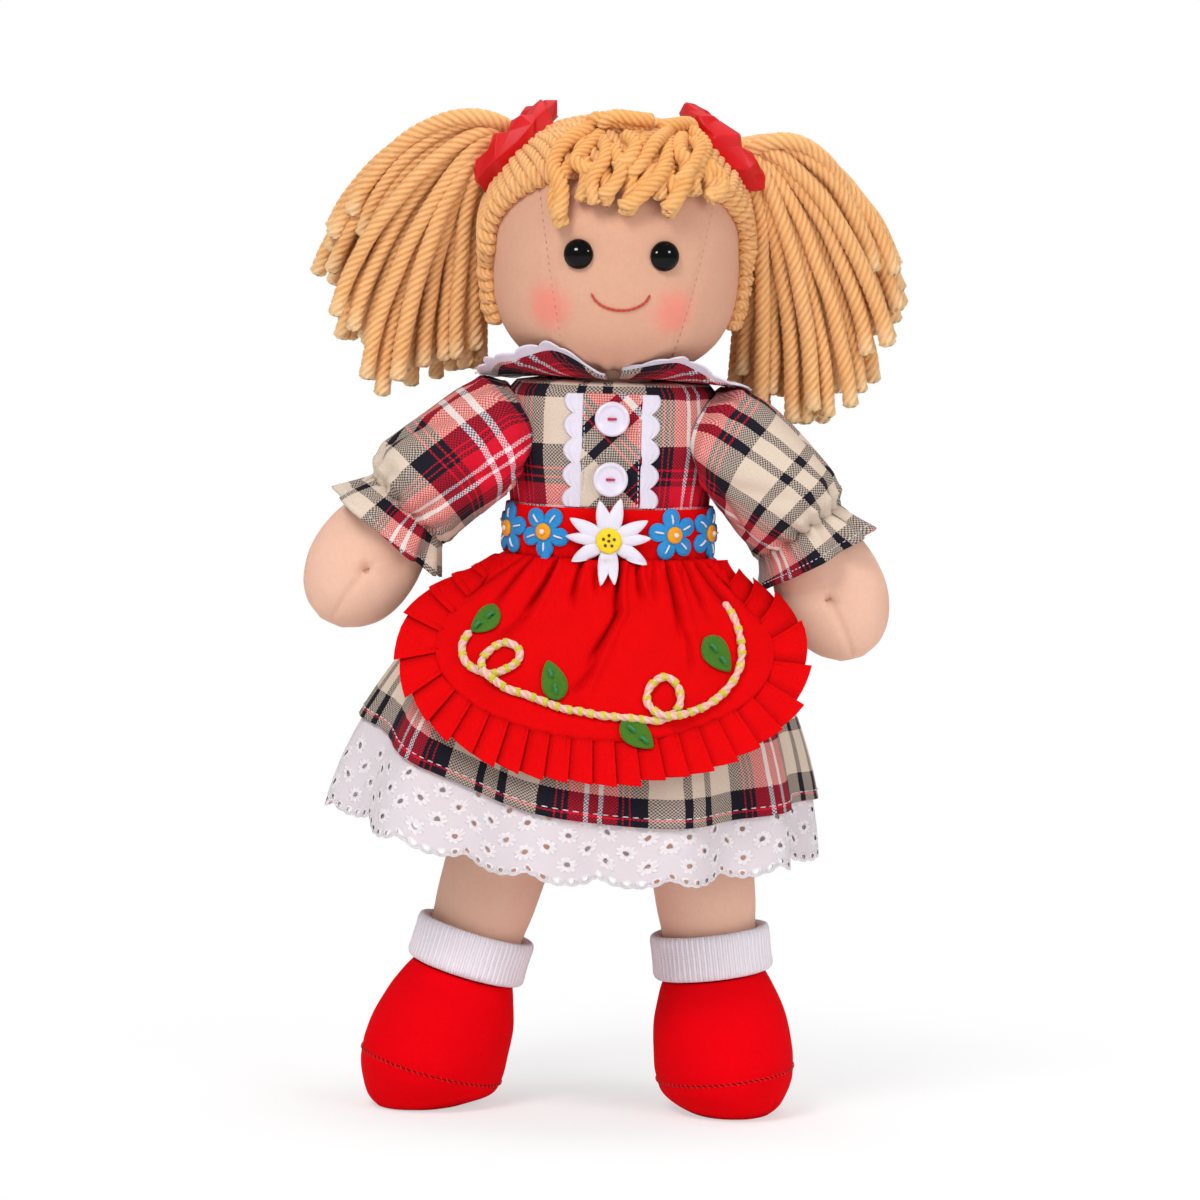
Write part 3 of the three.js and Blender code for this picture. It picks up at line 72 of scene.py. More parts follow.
BELL_WIDTH, BELL_DEPTH, BELL_DROP = 166, 112, 110
BELL_SIDEWAYS, BELL_ROUNDNESS = 12, 0.8
SKIRT_FOLDS, SKIRT_FOLD_DEPTH = 11, 4
PETTICOAT_HEM = {"left": 89, "back": 77, "right": 104, "front": 85}
SKIRT_HEM = {"left": 108, "back": 100, "right": 134, "front": 105}
# The skirts' cloth, in centimetres: its length round the hem, where the pattern starts, the petticoat's pitches
CLOTH_ROUND, CLOTH_START = 46.0, 4.77
SCALLOP_PITCH, EYELET_PITCH, FLOWER_PITCH = 2.0909, 0.4182, 1.2105
APRON_DROP, APRON_WIDTH, APRON_TOP_WIDTH = 58, 118, 86
APRON_TOP = BODICE_BOTTOM - 0.6
APRON_UPPER, APRON_SIDE = 0.5, 0.3
# The skirts' plies and folds that the top of the apron lies on
APRON_SEAT = 1.6 + 2.2 + 0.6 + 2.2
PLEAT_PITCH, RUFFLE_WIDTH = 7.2, 12.6
TIE_THICKNESS = 11
BUNCH_ANGLE = math.radians(44)
BUNCH_SET_BACK = 9
TIE_REACH = (HEAD_WIDTH + HEAD_HEIGHT) / 4 + 6.5 * 0.55 + TIE_THICKNESS / 2
TORSO_HALF_WIDTH, TORSO_HALF_DEPTH, NECK_RADIUS = 36, 22, 14
ARM_LENGTH, ARM_HALF_WIDTH, ARM_HALF_DEPTH, ARM_ROOT = 89, 18.5, 14, 8
ARM_ANGLES = {"right": (60, 22), "left": (52, 14)}
LEG_RADIUS, HIP_SPACING, HIPS_SIDEWAYS = 18.25, 23.2, 4
SHOE_HEIGHT, SHOE_HALF_WIDTH, SHOE_HALF_LENGTH, SHOE_FORWARD = 47, 23.75, 30.5, 4

bodice_low, bodice_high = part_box("bodice")
MIDDLE = Vector(((bodice_low.x + bodice_high.x) / 2, (bodice_low.y + bodice_high.y) / 2, 0))


def mix(a, b, t):
    return a + (b - a) * t


def clamp(t):
    return min(1.0, max(0.0, t))


def ease(t):
    return t * t * (3 - 2 * t)


def bump(t):
    """A smooth hill that is 1 at zero and has gone by 3."""
    return math.exp(-t * t)


def wander(x, y, z=0.0):
    """Gentle, repeatable unevenness between about -1 and 1."""
    return noise.noise(Vector((x, y, z)))


def turns(count):
    """The angles of evenly spaced steps round a circle."""
    return [i / count * math.tau for i in range(count)]


def oval(a, b, turn, z):
    return Vector((a * math.cos(turn), b * math.sin(turn), z))


def step_in(table, t):
    """The two rows of a table that t lies between, and how far it has come from one to the other."""
    for low, high in zip(table, table[1:]):
        if t <= high[0]:
            break
    return low, high, (t - low[0]) / (high[0] - low[0])


def curve_through(a, b, c, d, t):
    """The smooth curve through four numbers or places in a row, between the middle two."""
    return 0.5 * (2 * b + (c - a) * t + (2 * a - 5 * b + 4 * c - d) * t * t + (3 * b - a - 3 * c + d) * t ** 3)


def smooth_table(rows, count):
    """Rows of numbers resampled along a smooth curve through them."""
    out, last = [], len(rows) - 1
    padded = [[2 * a - b for a, b in zip(rows[0], rows[1])], *rows, [2 * a - b for a, b in zip(rows[-1], rows[-2])]]
    for k in range(count + 1):
        place = k / count * last
        i = min(last - 1, int(place))
        out.append([curve_through(*four, place - i) for four in zip(*padded[i : i + 4])])
    return out


def lengths_along(points):
    """How far each point lies from the first, along the line through them."""
    far = [0.0]
    for p, q in zip(points, points[1:]):
        far.append(far[-1] + (q - p).length)
    return far


def smooth_path(points, spacing):
    """A line through the points, resampled evenly."""
    points = [Vector(p) for p in points]
    fine = []
    padded = [points[0] * 2 - points[1], *points, points[-1] * 2 - points[-2]]
    for i in range(1, len(padded) - 2):
        fine += [curve_through(*padded[i - 1 : i + 3], k / 8) for k in range(8)]
    fine.append(points[-1])
    lengths = lengths_along(fine)
    count = max(2, round(lengths[-1] / spacing))
    out, at = [], 0
    for k in range(count + 1):
        want = lengths[-1] * k / count
        while at < len(lengths) - 2 and lengths[at + 1] < want:
            at += 1
        step = lengths[at + 1] - lengths[at]
        out.append(fine[at].lerp(fine[at + 1], clamp((want - lengths[at]) / step if step else 0)))
    return out


# ---- Shader nodes ----
def fill(tree, node, values):
    """Sets a node's inputs, by a link where the value is another node's output."""
    for key, value in values.items():
        if isinstance(value, bpy.types.NodeSocket):
            tree.links.new(value, node.inputs[key])
        else:
            node.inputs[key].default_value = value
    return node


def add(tree, kind, values={}, **settings):
    made = tree.nodes.new("ShaderNode" + kind)
    for key, value in settings.items():
        setattr(made, key, value)
    return fill(tree, made, values)


def maths(tree, operation, a, b=0.0, c=0.0, clamped=False):
    return add(tree, "Math", {0: a, 1: b, 2: c}, operation=operation, use_clamp=clamped).outputs[0]


def plus(tree, a, b, clamped=False):
    return maths(tree, "ADD", a, b, clamped=clamped)


def minus(tree, a, b):
    return maths(tree, "SUBTRACT", a, b)


def times(tree, a, b, clamped=False):
    return maths(tree, "MULTIPLY", a, b, clamped=clamped)


def humps(tree, angle):
    """A row of round humps between 0 and 1, one for each half turn."""
    return maths(tree, "ABSOLUTE", maths(tree, "SINE", angle))


def colour_mix(tree, share, a, b):
    return add(tree, "Mix", {0: share, 6: a, 7: b}, data_type="RGBA").outputs[2]


def ramp(tree, share, stops, constant=False):
    made = add(tree, "ValToRGB", {0: share})
    elements = made.color_ramp.elements
    made.color_ramp.interpolation = "CONSTANT" if constant else "LINEAR"
    for place, _ in stops[2:]:
        elements.new(place)
    for element, (place, colour) in zip(elements, sorted(stops, key=lambda s: s[0])):
        element.position = place
        element.color = colour
    return made.outputs[0]


def rgb(red, green, blue):
    """A colour given as it shows on screen, made linear."""
    def linear(v):
        v /= 255
        return v / 12.92 if v <= 0.04045 else ((v + 0.055) / 1.055) ** 2.4
    return (linear(red), linear(green), linear(blue), 1.0)


def group(name, inputs, outputs):
    tree = bpy.data.node_groups.new(name, "ShaderNodeTree")
    for label, kind, value in inputs:
        socket = tree.interface.new_socket(name=label, in_out="INPUT", socket_type=kind)
        if value is not None:
            socket.default_value = value
    for label, kind in outputs:
        tree.interface.new_socket(name=label, in_out="OUTPUT", socket_type=kind)
    start = tree.nodes.new("NodeGroupInput")
    end = tree.nodes.new("NodeGroupOutput")
    return tree, start.outputs, end.inputs


def use(tree, made, values):
    """Puts a node group in a material and gives its outputs."""
    return fill(tree, add(tree, "Group", node_tree=made), values).outputs


FLOAT, COLOUR, VECTOR = "NodeSocketFloat", "NodeSocketColor", "NodeSocketVector"


def weave_group():
    """Plain weave on cloth coordinates in centimetres: its relief, and which thread is on top."""
    tree, given, out = group(
        "plain weave", [("Cloth", VECTOR, None), ("Threads", FLOAT, 18.0)], [("Height", FLOAT), ("Warp on top", FLOAT)]
    )
    jitter = add(tree, "TexNoise", {"Vector": given["Cloth"], "Scale": 2.2, "Detail": 2.0})
    parts = add(tree, "SeparateXYZ", {0: given["Cloth"]})
    sway = times(tree, minus(tree, jitter.outputs[0], 0.5), 0.12)
    a = times(tree, plus(tree, parts.outputs[0], sway), given["Threads"])
    b = times(tree, plus(tree, parts.outputs[1], sway), given["Threads"])
    steps = plus(tree, maths(tree, "FLOOR", a), maths(tree, "FLOOR", b))
    over = maths(tree, "PINGPONG", steps, 1.0)
    round_a = humps(tree, times(tree, a, math.pi))
    round_b = humps(tree, times(tree, b, math.pi))
    warp = times(tree, over, round_a)
    weft = times(tree, minus(tree, 1.0, over), round_b)
    tree.links.new(plus(tree, warp, weft), out["Height"])
    tree.links.new(over, out["Warp on top"])
    return tree


DYE_GAMMA = 1.4


def dyed(red, green, blue):
    """A thread's colour, written so that the mixed threads come out deep after the gamma below."""
    return (*(v ** (1 / DYE_GAMMA) for v in rgb(red, green, blue)[:3]), 1.0)


CHECK_RED, CHECK_BLACK = dyed(206, 8, 40), dyed(20, 18, 30)
CHECK_CREAM, CHECK_WHITE = dyed(214, 196, 178), dyed(230, 222, 228)
# Widths in millimetres of the threads of one colour, through one repeat of the check
RED_BAND = [(4.8, CHECK_RED), (1.5, CHECK_WHITE), (3.0, CHECK_RED), (1.5, CHECK_WHITE), (4.8, CHECK_RED)]
BLACK_BAND = [(1.4, CHECK_BLACK), (0.6, CHECK_RED), (1.4, CHECK_BLACK), (0.6, CHECK_RED), (5.0, CHECK_BLACK)]
CREAM_BAND = [(10.4, CHECK_CREAM), (3.0, CHECK_BLACK), (5.0, CHECK_CREAM), (3.0, CHECK_BLACK), (10.4, CHECK_CREAM)]
CHECK = RED_BAND + BLACK_BAND + CREAM_BAND + BLACK_BAND[::-1]
CHECK_REPEAT = sum(width for width, _ in CHECK) / 10
CHECK_DRAWN_OUT = 1.5


def tartan_group():
    """A woven check on cloth coordinates in centimetres: threads of both ways, dyed in the same order."""
    tree, given, out = group(
        "woven check", [("Cloth", VECTOR, None), ("Warp on top", FLOAT, 0.5)], [("Colour", COLOUR)]
    )
    stops, at = [], 0.0
    for width, colour in CHECK:
        stops.append((at / CHECK_REPEAT / 10, colour))
        at += width
    jitter = add(tree, "TexNoise", {"Vector": given["Cloth"], "Scale": 1.1, "Detail": 1.0})
    sway = times(tree, minus(tree, jitter.outputs[0], 0.5), 0.1)
    parts = add(tree, "SeparateXYZ", {0: given["Cloth"]})
    threads = []
    for axis, repeat in ((0, CHECK_REPEAT), (1, CHECK_REPEAT * CHECK_DRAWN_OUT)):
        place = maths(tree, "DIVIDE", plus(tree, parts.outputs[axis], sway), repeat)
        threads.append(ramp(tree, maths(tree, "FRACT", place), stops, constant=True))
    slub = add(tree, "TexNoise", {"Vector": given["Cloth"], "Scale": 22.0, "Detail": 3.0})
    share = plus(tree, times(tree, given["Warp on top"], 0.6), 0.2)
    both = colour_mix(tree, share, threads[0], threads[1])
    mixed = add(tree, "Gamma", {"Color": both, "Gamma": DYE_GAMMA}).outputs[0]
    shade = plus(tree, times(tree, slub.outputs[0], 0.5), 0.75)
    tinted = add(tree, "HueSaturation", {"Color": mixed, "Value": shade})
    tree.links.new(tinted.outputs[0], out["Colour"])
    return tree


def fibre_group():
    """Short soft fibres for felt, jersey and yarn: an uneven relief and a shade."""
    tree, given, out = group(
        "soft fibres",
        [("Place", VECTOR, None), ("Fineness", FLOAT, 900.0)],
        [("Height", FLOAT), ("Shade", FLOAT)],
    )
    fine = add(tree, "TexNoise", {"Vector": given["Place"], "Scale": given["Fineness"], "Detail": 4.0})
    wide = add(tree, "TexNoise", {"Vector": given["Place"], "Scale": 60.0, "Detail": 3.0})
    tree.links.new(fine.outputs[0], out["Height"])
    both = plus(tree, times(tree, fine.outputs[0], 0.5), times(tree, wide.outputs[0], 0.5))
    tree.links.new(both, out["Shade"])
    return tree


def knit_group():
    """Jersey wales: fine ribs of little stitches, on cloth coordinates in centimetres."""
    tree, given, out = group(
        "jersey knit", [("Cloth", VECTOR, None), ("Wales", FLOAT, 20.0)], [("Height", FLOAT)]
    )
    parts = add(tree, "SeparateXYZ", {0: given["Cloth"]})
    across = times(tree, parts.outputs[0], given["Wales"])
    wale = humps(tree, times(tree, across, math.pi))
    lean = times(tree, wale, 0.5)
    along = times(tree, plus(tree, times(tree, parts.outputs[1], given["Wales"]), lean), math.pi)
    stitch = humps(tree, along)
    tree.links.new(times(tree, wale, plus(tree, times(tree, stitch, 0.5), 0.5)), out["Height"])
    return tree


def ply_group():
    """Plies of a twisted yarn: across its section (0 to 1) each ply is round, with grooves between them; the Groove
    output is used to paint shade in them.
    """
    tree, given, out = group(
        "yarn plies",
        [("Strand", VECTOR, None), ("Plies", FLOAT, 4.0)],
        [("Height", FLOAT), ("Groove", FLOAT), ("Fibre", FLOAT)],
    )
    parts = add(tree, "SeparateXYZ", {0: given["Strand"]})
    around = times(tree, times(tree, parts.outputs[1], given["Plies"]), math.pi)
    swell = humps(tree, around)
    stretched = add(
        tree, "CombineXYZ",
        {0: times(tree, parts.outputs[0], 4.0), 1: times(tree, parts.outputs[1], 26.0), 2: parts.outputs[2]},
    )
    fibre = add(tree, "TexNoise", {"Vector": stretched.outputs[0], "Scale": 3.0, "Detail": 4.0, "Roughness": 0.65})
    tree.links.new(plus(tree, swell, times(tree, fibre.outputs[0], 0.9)), out["Height"])
    tree.links.new(swell, out["Groove"])
    tree.links.new(fibre.outputs[0], out["Fibre"])
    return tree


WEAVE, TARTAN, FIBRE = weave_group(), tartan_group(), fibre_group()
KNIT, PLY = knit_group(), ply_group()


def material(name, roughness=0.85, sheen=0.0, coat=0.0, sheen_tint=(1, 1, 1, 1), specular=0.5):
    made = bpy.data.materials.new(name)
    made.use_nodes = True
    tree = made.node_tree
    tree.nodes.clear()
    end = tree.nodes.new("ShaderNodeOutputMaterial")
    shader = add(
        tree,
        "BsdfPrincipled",
        {
            "Roughness": roughness, "Specular IOR Level": specular, "Coat Weight": coat,
            "Sheen Weight": sheen, "Sheen Roughness": 0.5, "Sheen Tint": sheen_tint,
        },
    )
    tree.links.new(shader.outputs[0], end.inputs[0])
    return made, tree, shader


def plain(name, colour, roughness, **settings):
    made, _, shader = material(name, roughness, **settings)
    shader.inputs["Base Color"].default_value = colour
    return made


def relief(tree, shader, height, strength, distance):
    made = add(tree, "Bump", {"Height": height, "Strength": strength, "Distance": distance})
    tree.links.new(made.outputs[0], shader.inputs["Normal"])


def paint(tree, shader, colour):
    tree.links.new(colour, shader.inputs["Base Color"])


def cloth_place(tree, turn=0.0, shift=(0, 0, 0)):
    """The piece's own cloth coordinates in centimetres, turned where the cloth is cut on the bias."""
    source = add(tree, "UVMap", uv_map="cloth").outputs[0]
    return add(tree, "Mapping", {"Vector": source, "Rotation": (0, 0, turn), "Location": shift}).outputs[0]


def object_place(tree):
    return tree.nodes.new("ShaderNodeTexCoord").outputs["Object"]


def woven(name, colour, dark, threads=22.0, roughness=0.8, specular=0.05, strength=0.35):
    """Plain dyed cotton: a weave with painted shade where its threads sink, a little fading along its threads, and
    painted shade in the creases that a piece marks.
    """
    made, tree, shader = material(name, roughness, specular=specular)
    place = cloth_place(tree)
    cloth = use(tree, WEAVE, {"Cloth": place, "Threads": threads})
    soft = add(tree, "TexNoise", {"Vector": place, "Scale": 0.9, "Detail": 3.0})
    # Painted shade: darker where the weave sinks between threads; the soft noise is fading.
    shade = plus(tree, times(tree, cloth["Height"], 0.45), times(tree, soft.outputs[0], 0.55), clamped=True)
    # Painted shade: the crease attribute darkens the cloth towards a deep red in folds and under laps.
    painted_crease_shade = add(tree, "Attribute", attribute_name="crease").outputs["Fac"]
    deep = tuple(v * 0.3 for v in dark[:3]) + (1.0,)
    paint(tree, shader, colour_mix(tree, painted_crease_shade, colour_mix(tree, shade, dark, colour), deep))
    relief(tree, shader, cloth["Height"], strength, 0.00025)
    return made


def checked(name, turn=0.0, shift=(0, 0, 0)):
    """The dress cotton, its check turned as the piece was cut."""
    made, tree, shader = material(name, 0.85, 0.03, specular=0.15)
    place = cloth_place(tree, turn, shift)
    cloth = use(tree, WEAVE, {"Cloth": place, "Threads": 17.0})
    tartan = use(tree, TARTAN, {"Cloth": place, "Warp on top": cloth["Warp on top"]})
    paint(tree, shader, tartan["Colour"])
    relief(tree, shader, cloth["Height"], 0.4, 0.00025)
    return made


def felt(name, colour, dark, sheen=0.12):
    """Pressed wool with short fibres."""
    made, tree, shader = material(name, 0.95, sheen, specular=0.2)
    place = object_place(tree)
    fibres = use(tree, FIBRE, {"Place": place, "Fineness": 1400.0})
    paint(tree, shader, colour_mix(tree, fibres["Shade"], dark, colour))
    relief(tree, shader, fibres["Height"], 0.7, 0.0004)
    return made


def yarned(name, light, deep, plies, sheen=0.2, tint=(1, 1, 1, 1), tip=None):
    """Twisted wool: its lighter colour on the round of each ply and painted shade deep in the grooves between the
    plies, with loose fibres.
    """
    made, tree, shader = material(name, 0.95, sheen, sheen_tint=tint, specular=0.2)
    source = add(tree, "UVMap", uv_map="cloth").outputs[0]
    strand = use(tree, PLY, {"Strand": source, "Plies": plies})
    wide = add(tree, "TexNoise", {"Vector": object_place(tree), "Scale": 45.0, "Detail": 2.0})
    # Painted shade: the colour goes deep in the grooves between the plies.
    share = times(tree, strand["Groove"], plus(tree, times(tree, strand["Fibre"], 0.9), 0.45), clamped=True)
    share = plus(tree, times(tree, share, 0.8), times(tree, wide.outputs[0], 0.25), clamped=True)
    colour = colour_mix(tree, share, deep, light)
    if tip:
        near = add(tree, "Attribute", attribute_name="tip")
        colour = colour_mix(tree, times(tree, near.outputs["Fac"], 0.7), colour, tip)
    paint(tree, shader, colour)
    relief(tree, shader, strand["Height"], 0.6, 0.0005)
    return made


def thread(name, colour, dark):
    """Smooth stitching cotton."""
    made, tree, shader = material(name, 0.55, 0.2, specular=0.4)
    fibres = use(tree, FIBRE, {"Place": object_place(tree), "Fineness": 2600.0})
    paint(tree, shader, colour_mix(tree, fibres["Shade"], dark, colour))
    relief(tree, shader, fibres["Height"], 0.5, 0.0002)
    return made


def skin_material(name, base, deep, blushes=(), sheen=0.12, specular=0.15):
    """Stuffed jersey: fine wales with a little painted shade between them and an uneven tint; blushes are soft round
    spots of colour.
    """
    made, tree, shader = material(name, 0.9, sheen, sheen_tint=rgb(255, 225, 205), specular=specular)
    place = object_place(tree)
    knit = use(tree, KNIT, {"Cloth": cloth_place(tree), "Wales": 24.0})
    fibres = use(tree, FIBRE, {"Place": place, "Fineness": 700.0})
    # The fibre tint is random; the knit's share is painted shade between the wales.
    shade = plus(tree, times(tree, fibres["Shade"], 0.75), times(tree, knit["Height"], 0.25))
    colour = colour_mix(tree, shade, deep, base)
    for centre, radius, strength, tint in blushes:
        offset = add(tree, "VectorMath", {0: place, 1: centre}, operation="DISTANCE").outputs["Value"]
        grain = times(tree, minus(tree, fibres["Shade"], 0.5), radius * 0.5)
        near = add(
            tree, "MapRange",
            {"Value": plus(tree, offset, grain), "From Min": radius, "From Max": radius * 0.1, "To Max": strength},
            interpolation_type="SMOOTHERSTEP",
        )
        colour = colour_mix(tree, near.outputs[0], colour, tint)
    paint(tree, shader, colour)
    relief(tree, shader, plus(tree, knit["Height"], fibres["Height"]), 0.3, 0.00022)
    return made


def eyelet_material(name):
    """White embroidered cotton: a row of holes along the hem, and round flowers with a hole in each middle."""
    made, tree, shader = material(name, 0.75, 0.2, specular=0.3)
    place = cloth_place(tree)
    parts = add(tree, "SeparateXYZ", {0: place})
    u, v = parts.outputs[0], parts.outputs[1]

    def spot(pitch_u, pitch_v, row, stagger):
        """Distance to the nearest spot and the angle round it; rows repeat upwards from one height."""
        level = maths(tree, "DIVIDE", minus(tree, v, row), pitch_v)
        step = maths(tree, "FLOOR", plus(tree, level, 0.5))
        slide = times(tree, step, stagger)
        along = minus(tree, maths(tree, "FRACT", plus(tree, maths(tree, "DIVIDE", u, pitch_u), slide)), 0.5)
        du = times(tree, along, pitch_u)
        dv = times(tree, minus(tree, level, step), pitch_v)
        far = maths(tree, "SQRT", plus(tree, times(tree, du, du), times(tree, dv, dv)))
        return far, maths(tree, "ARCTAN2", dv, du), step

    edge, _, edge_step = spot(EYELET_PITCH, 3.0, 0.2, 0.0)
    flower, angle, flower_step = spot(FLOWER_PITCH, 0.54, 0.78, 0.5)
    edge_on = maths(tree, "COMPARE", edge_step, 0.0, 0.1)
    flower_on = maths(tree, "COMPARE", flower_step, 1.5, 1.6)
    edge_hole = times(tree, maths(tree, "LESS_THAN", edge, 0.08), edge_on)
    flower_hole = times(tree, maths(tree, "LESS_THAN", flower, 0.095), flower_on)
    holes = maths(tree, "MAXIMUM", edge_hole, flower_hole)
    lobe = maths(tree, "POWER", maths(tree, "ABSOLUTE", maths(tree, "COSINE", times(tree, angle, 4.5))), 0.6)
    petal = plus(tree, times(tree, lobe, 0.14), 0.18)
    stitched = add(tree, "MapRange", {"Value": minus(tree, flower, petal), "From Min": 0.03, "From Max": -0.03})
    ring = add(tree, "MapRange", {"Value": edge, "From Min": 0.16, "From Max": 0.12})
    satin = maths(tree, "MAXIMUM", times(tree, stitched.outputs[0], flower_on), times(tree, ring.outputs[0], edge_on))
    border = add(tree, "MapRange", {"Value": v, "From Min": 0.1, "From Max": 0.06})
    satin = maths(tree, "MAXIMUM", satin, border.outputs[0])
    ray = humps(tree, times(tree, angle, 20.0))
    cloth = use(tree, WEAVE, {"Cloth": place, "Threads": 26.0})
    height = plus(tree, times(tree, satin, 1.6), times(tree, cloth["Height"], 0.25))
    height = plus(tree, height, times(tree, times(tree, ray, satin), 0.5))
    paint(tree, shader, colour_mix(tree, satin, rgb(221, 211, 216), rgb(243, 236, 240)))
    relief(tree, shader, height, 0.6, 0.0004)
    tree.links.new(minus(tree, 1.0, holes), shader.inputs["Alpha"])
    return made


def ribbed_material(name, base, deep, ribs):
    """Rib knit: ribs run up the sock, on cloth coordinates in centimetres, with painted shade in the grooves between
    the ribs and loops.
    """
    made, tree, shader = material(name, 0.9, 0.2, specular=0.2)
    parts = add(tree, "SeparateXYZ", {0: cloth_place(tree)})
    rib = humps(tree, times(tree, parts.outputs[0], ribs * math.pi))
    loop = humps(tree, times(tree, parts.outputs[1], 28 * math.pi))
    height = plus(tree, rib, times(tree, loop, 0.3))
    # Painted shade: darker in the grooves between ribs and between loops.
    paint(tree, shader, colour_mix(tree, times(tree, height, 0.75, clamped=True), deep, base))
    relief(tree, shader, height, 0.6, 0.0004)
    return made


# ---- Making meshes ----
FRONT, UP = Vector((0, -1, 0)), Vector((0, 0, 1))


def placed(point):
    return Vector((point[0], point[1], point[2])) * MM + MIDDLE


def grid(rows, columns, place):
    """Rows of points from their shares down and across a sheet."""
    return [[place(j / rows, i / columns) for i in range(columns + 1)] for j in range(rows + 1)]


def new_piece(name, points, faces, corners, finish, smooth=True):
    """A mesh object from points in the doll's millimetres, with cloth coordinates in centimetres."""
    mesh = bpy.data.meshes.new(name)
    mesh.from_pydata([tuple(placed(p)) for p in points], [], faces)
    layer = mesh.uv_layers.new(name="cloth")
    flat = [value for corner in corners for pair in corner for value in pair]
    layer.data.foreach_set("uv", flat)
    mesh.materials.append(finish)
    if smooth:
        mesh.shade_smooth()
    made = bpy.data.objects.new(name, mesh)
    bpy.context.scene.collection.objects.link(made)
    return made


def quads_between(rows, cloth, looped):
    """Faces between rows of points, and the cloth coordinates of their corners."""
    count = len(rows[0])
    faces, corners = [], []
    for r in range(len(rows) - 1):
        for c in range(count if looped else count - 1):
            d = (c + 1) % count
            faces.append([r * count + c, r * count + d, (r + 1) * count + d, (r + 1) * count + c])
            corners.append([cloth(r, c), cloth(r, c + 1), cloth(r + 1, c + 1), cloth(r + 1, c)])
    return faces, corners


def sheet_of(name, rows, cloth, finish, looped=False, smooth=True):
    """A surface through rows of points; cloth gives the cloth coordinates of each row and column."""
    points = [p for row in rows for p in row]
    return new_piece(name, points, *quads_between(rows, cloth, looped), finish, smooth)


def body_of(name, rings, cloth, finish):
    """A closed form through rings of points, its ends drawn in to a pole."""
    around, last = len(rings[0]), len(rings) - 1
    points = [p for ring in rings for p in ring]
    faces, corners = quads_between(rings, cloth, True)
    for r in (0, last):
        points.append(sum((Vector(p) for p in rings[r]), Vector()) / around)
        for c in range(around):
            pair = [r * around + c, r * around + (c + 1) % around]
            uv = [cloth(r, c), cloth(r, c + 1)]
            if r == 0:
                pair.reverse()
                uv.reverse()
            faces.append([*pair, len(points) - 1])
            corners.append([*uv, cloth(r, c + 0.5)])
    made = new_piece(name, points, faces, corners, finish)
    outwards(made)
    return made


def outwards(piece):
    mesh = bmesh.new()
    mesh.from_mesh(piece.data)
    bmesh.ops.recalc_face_normals(mesh, faces=mesh.faces)
    mesh.to_mesh(piece.data)
    mesh.free()


def only(piece):
    bpy.ops.object.select_all(action="DESELECT")
    piece.select_set(True)
    bpy.context.view_layer.objects.active = piece


def finished(piece, kind, **settings):
    """Adds a modifier and applies it."""
    modifier = piece.modifiers.new(kind.lower(), kind)
    for key, value in settings.items():
        setattr(modifier, key, value)
    only(piece)
    bpy.ops.object.modifier_apply(modifier=modifier.name)
    return piece


def thicken(piece, millimetres, offset=-1.0):
    """Gives a sheet its ply, inwards or, with offset 0, to both sides."""
    return finished(piece, "SOLIDIFY", thickness=millimetres * MM, offset=offset)


def face_towards(piece, way):
    """Turns an open sheet's faces to one side."""
    if sum(p.normal.dot(way) * p.area for p in piece.data.polygons) < 0:
        only(piece)
        bpy.ops.object.mode_set(mode="EDIT")
        bpy.ops.mesh.select_all(action="SELECT")
        bpy.ops.mesh.flip_normals()
        bpy.ops.object.mode_set(mode="OBJECT")


def joined(name, pieces):
    only(pieces[0])
    for piece in pieces[1:]:
        piece.select_set(True)
    if len(pieces) > 1:
        bpy.ops.object.join()
    pieces[0].name = name
    pieces[0].data.name = name
    return pieces[0]


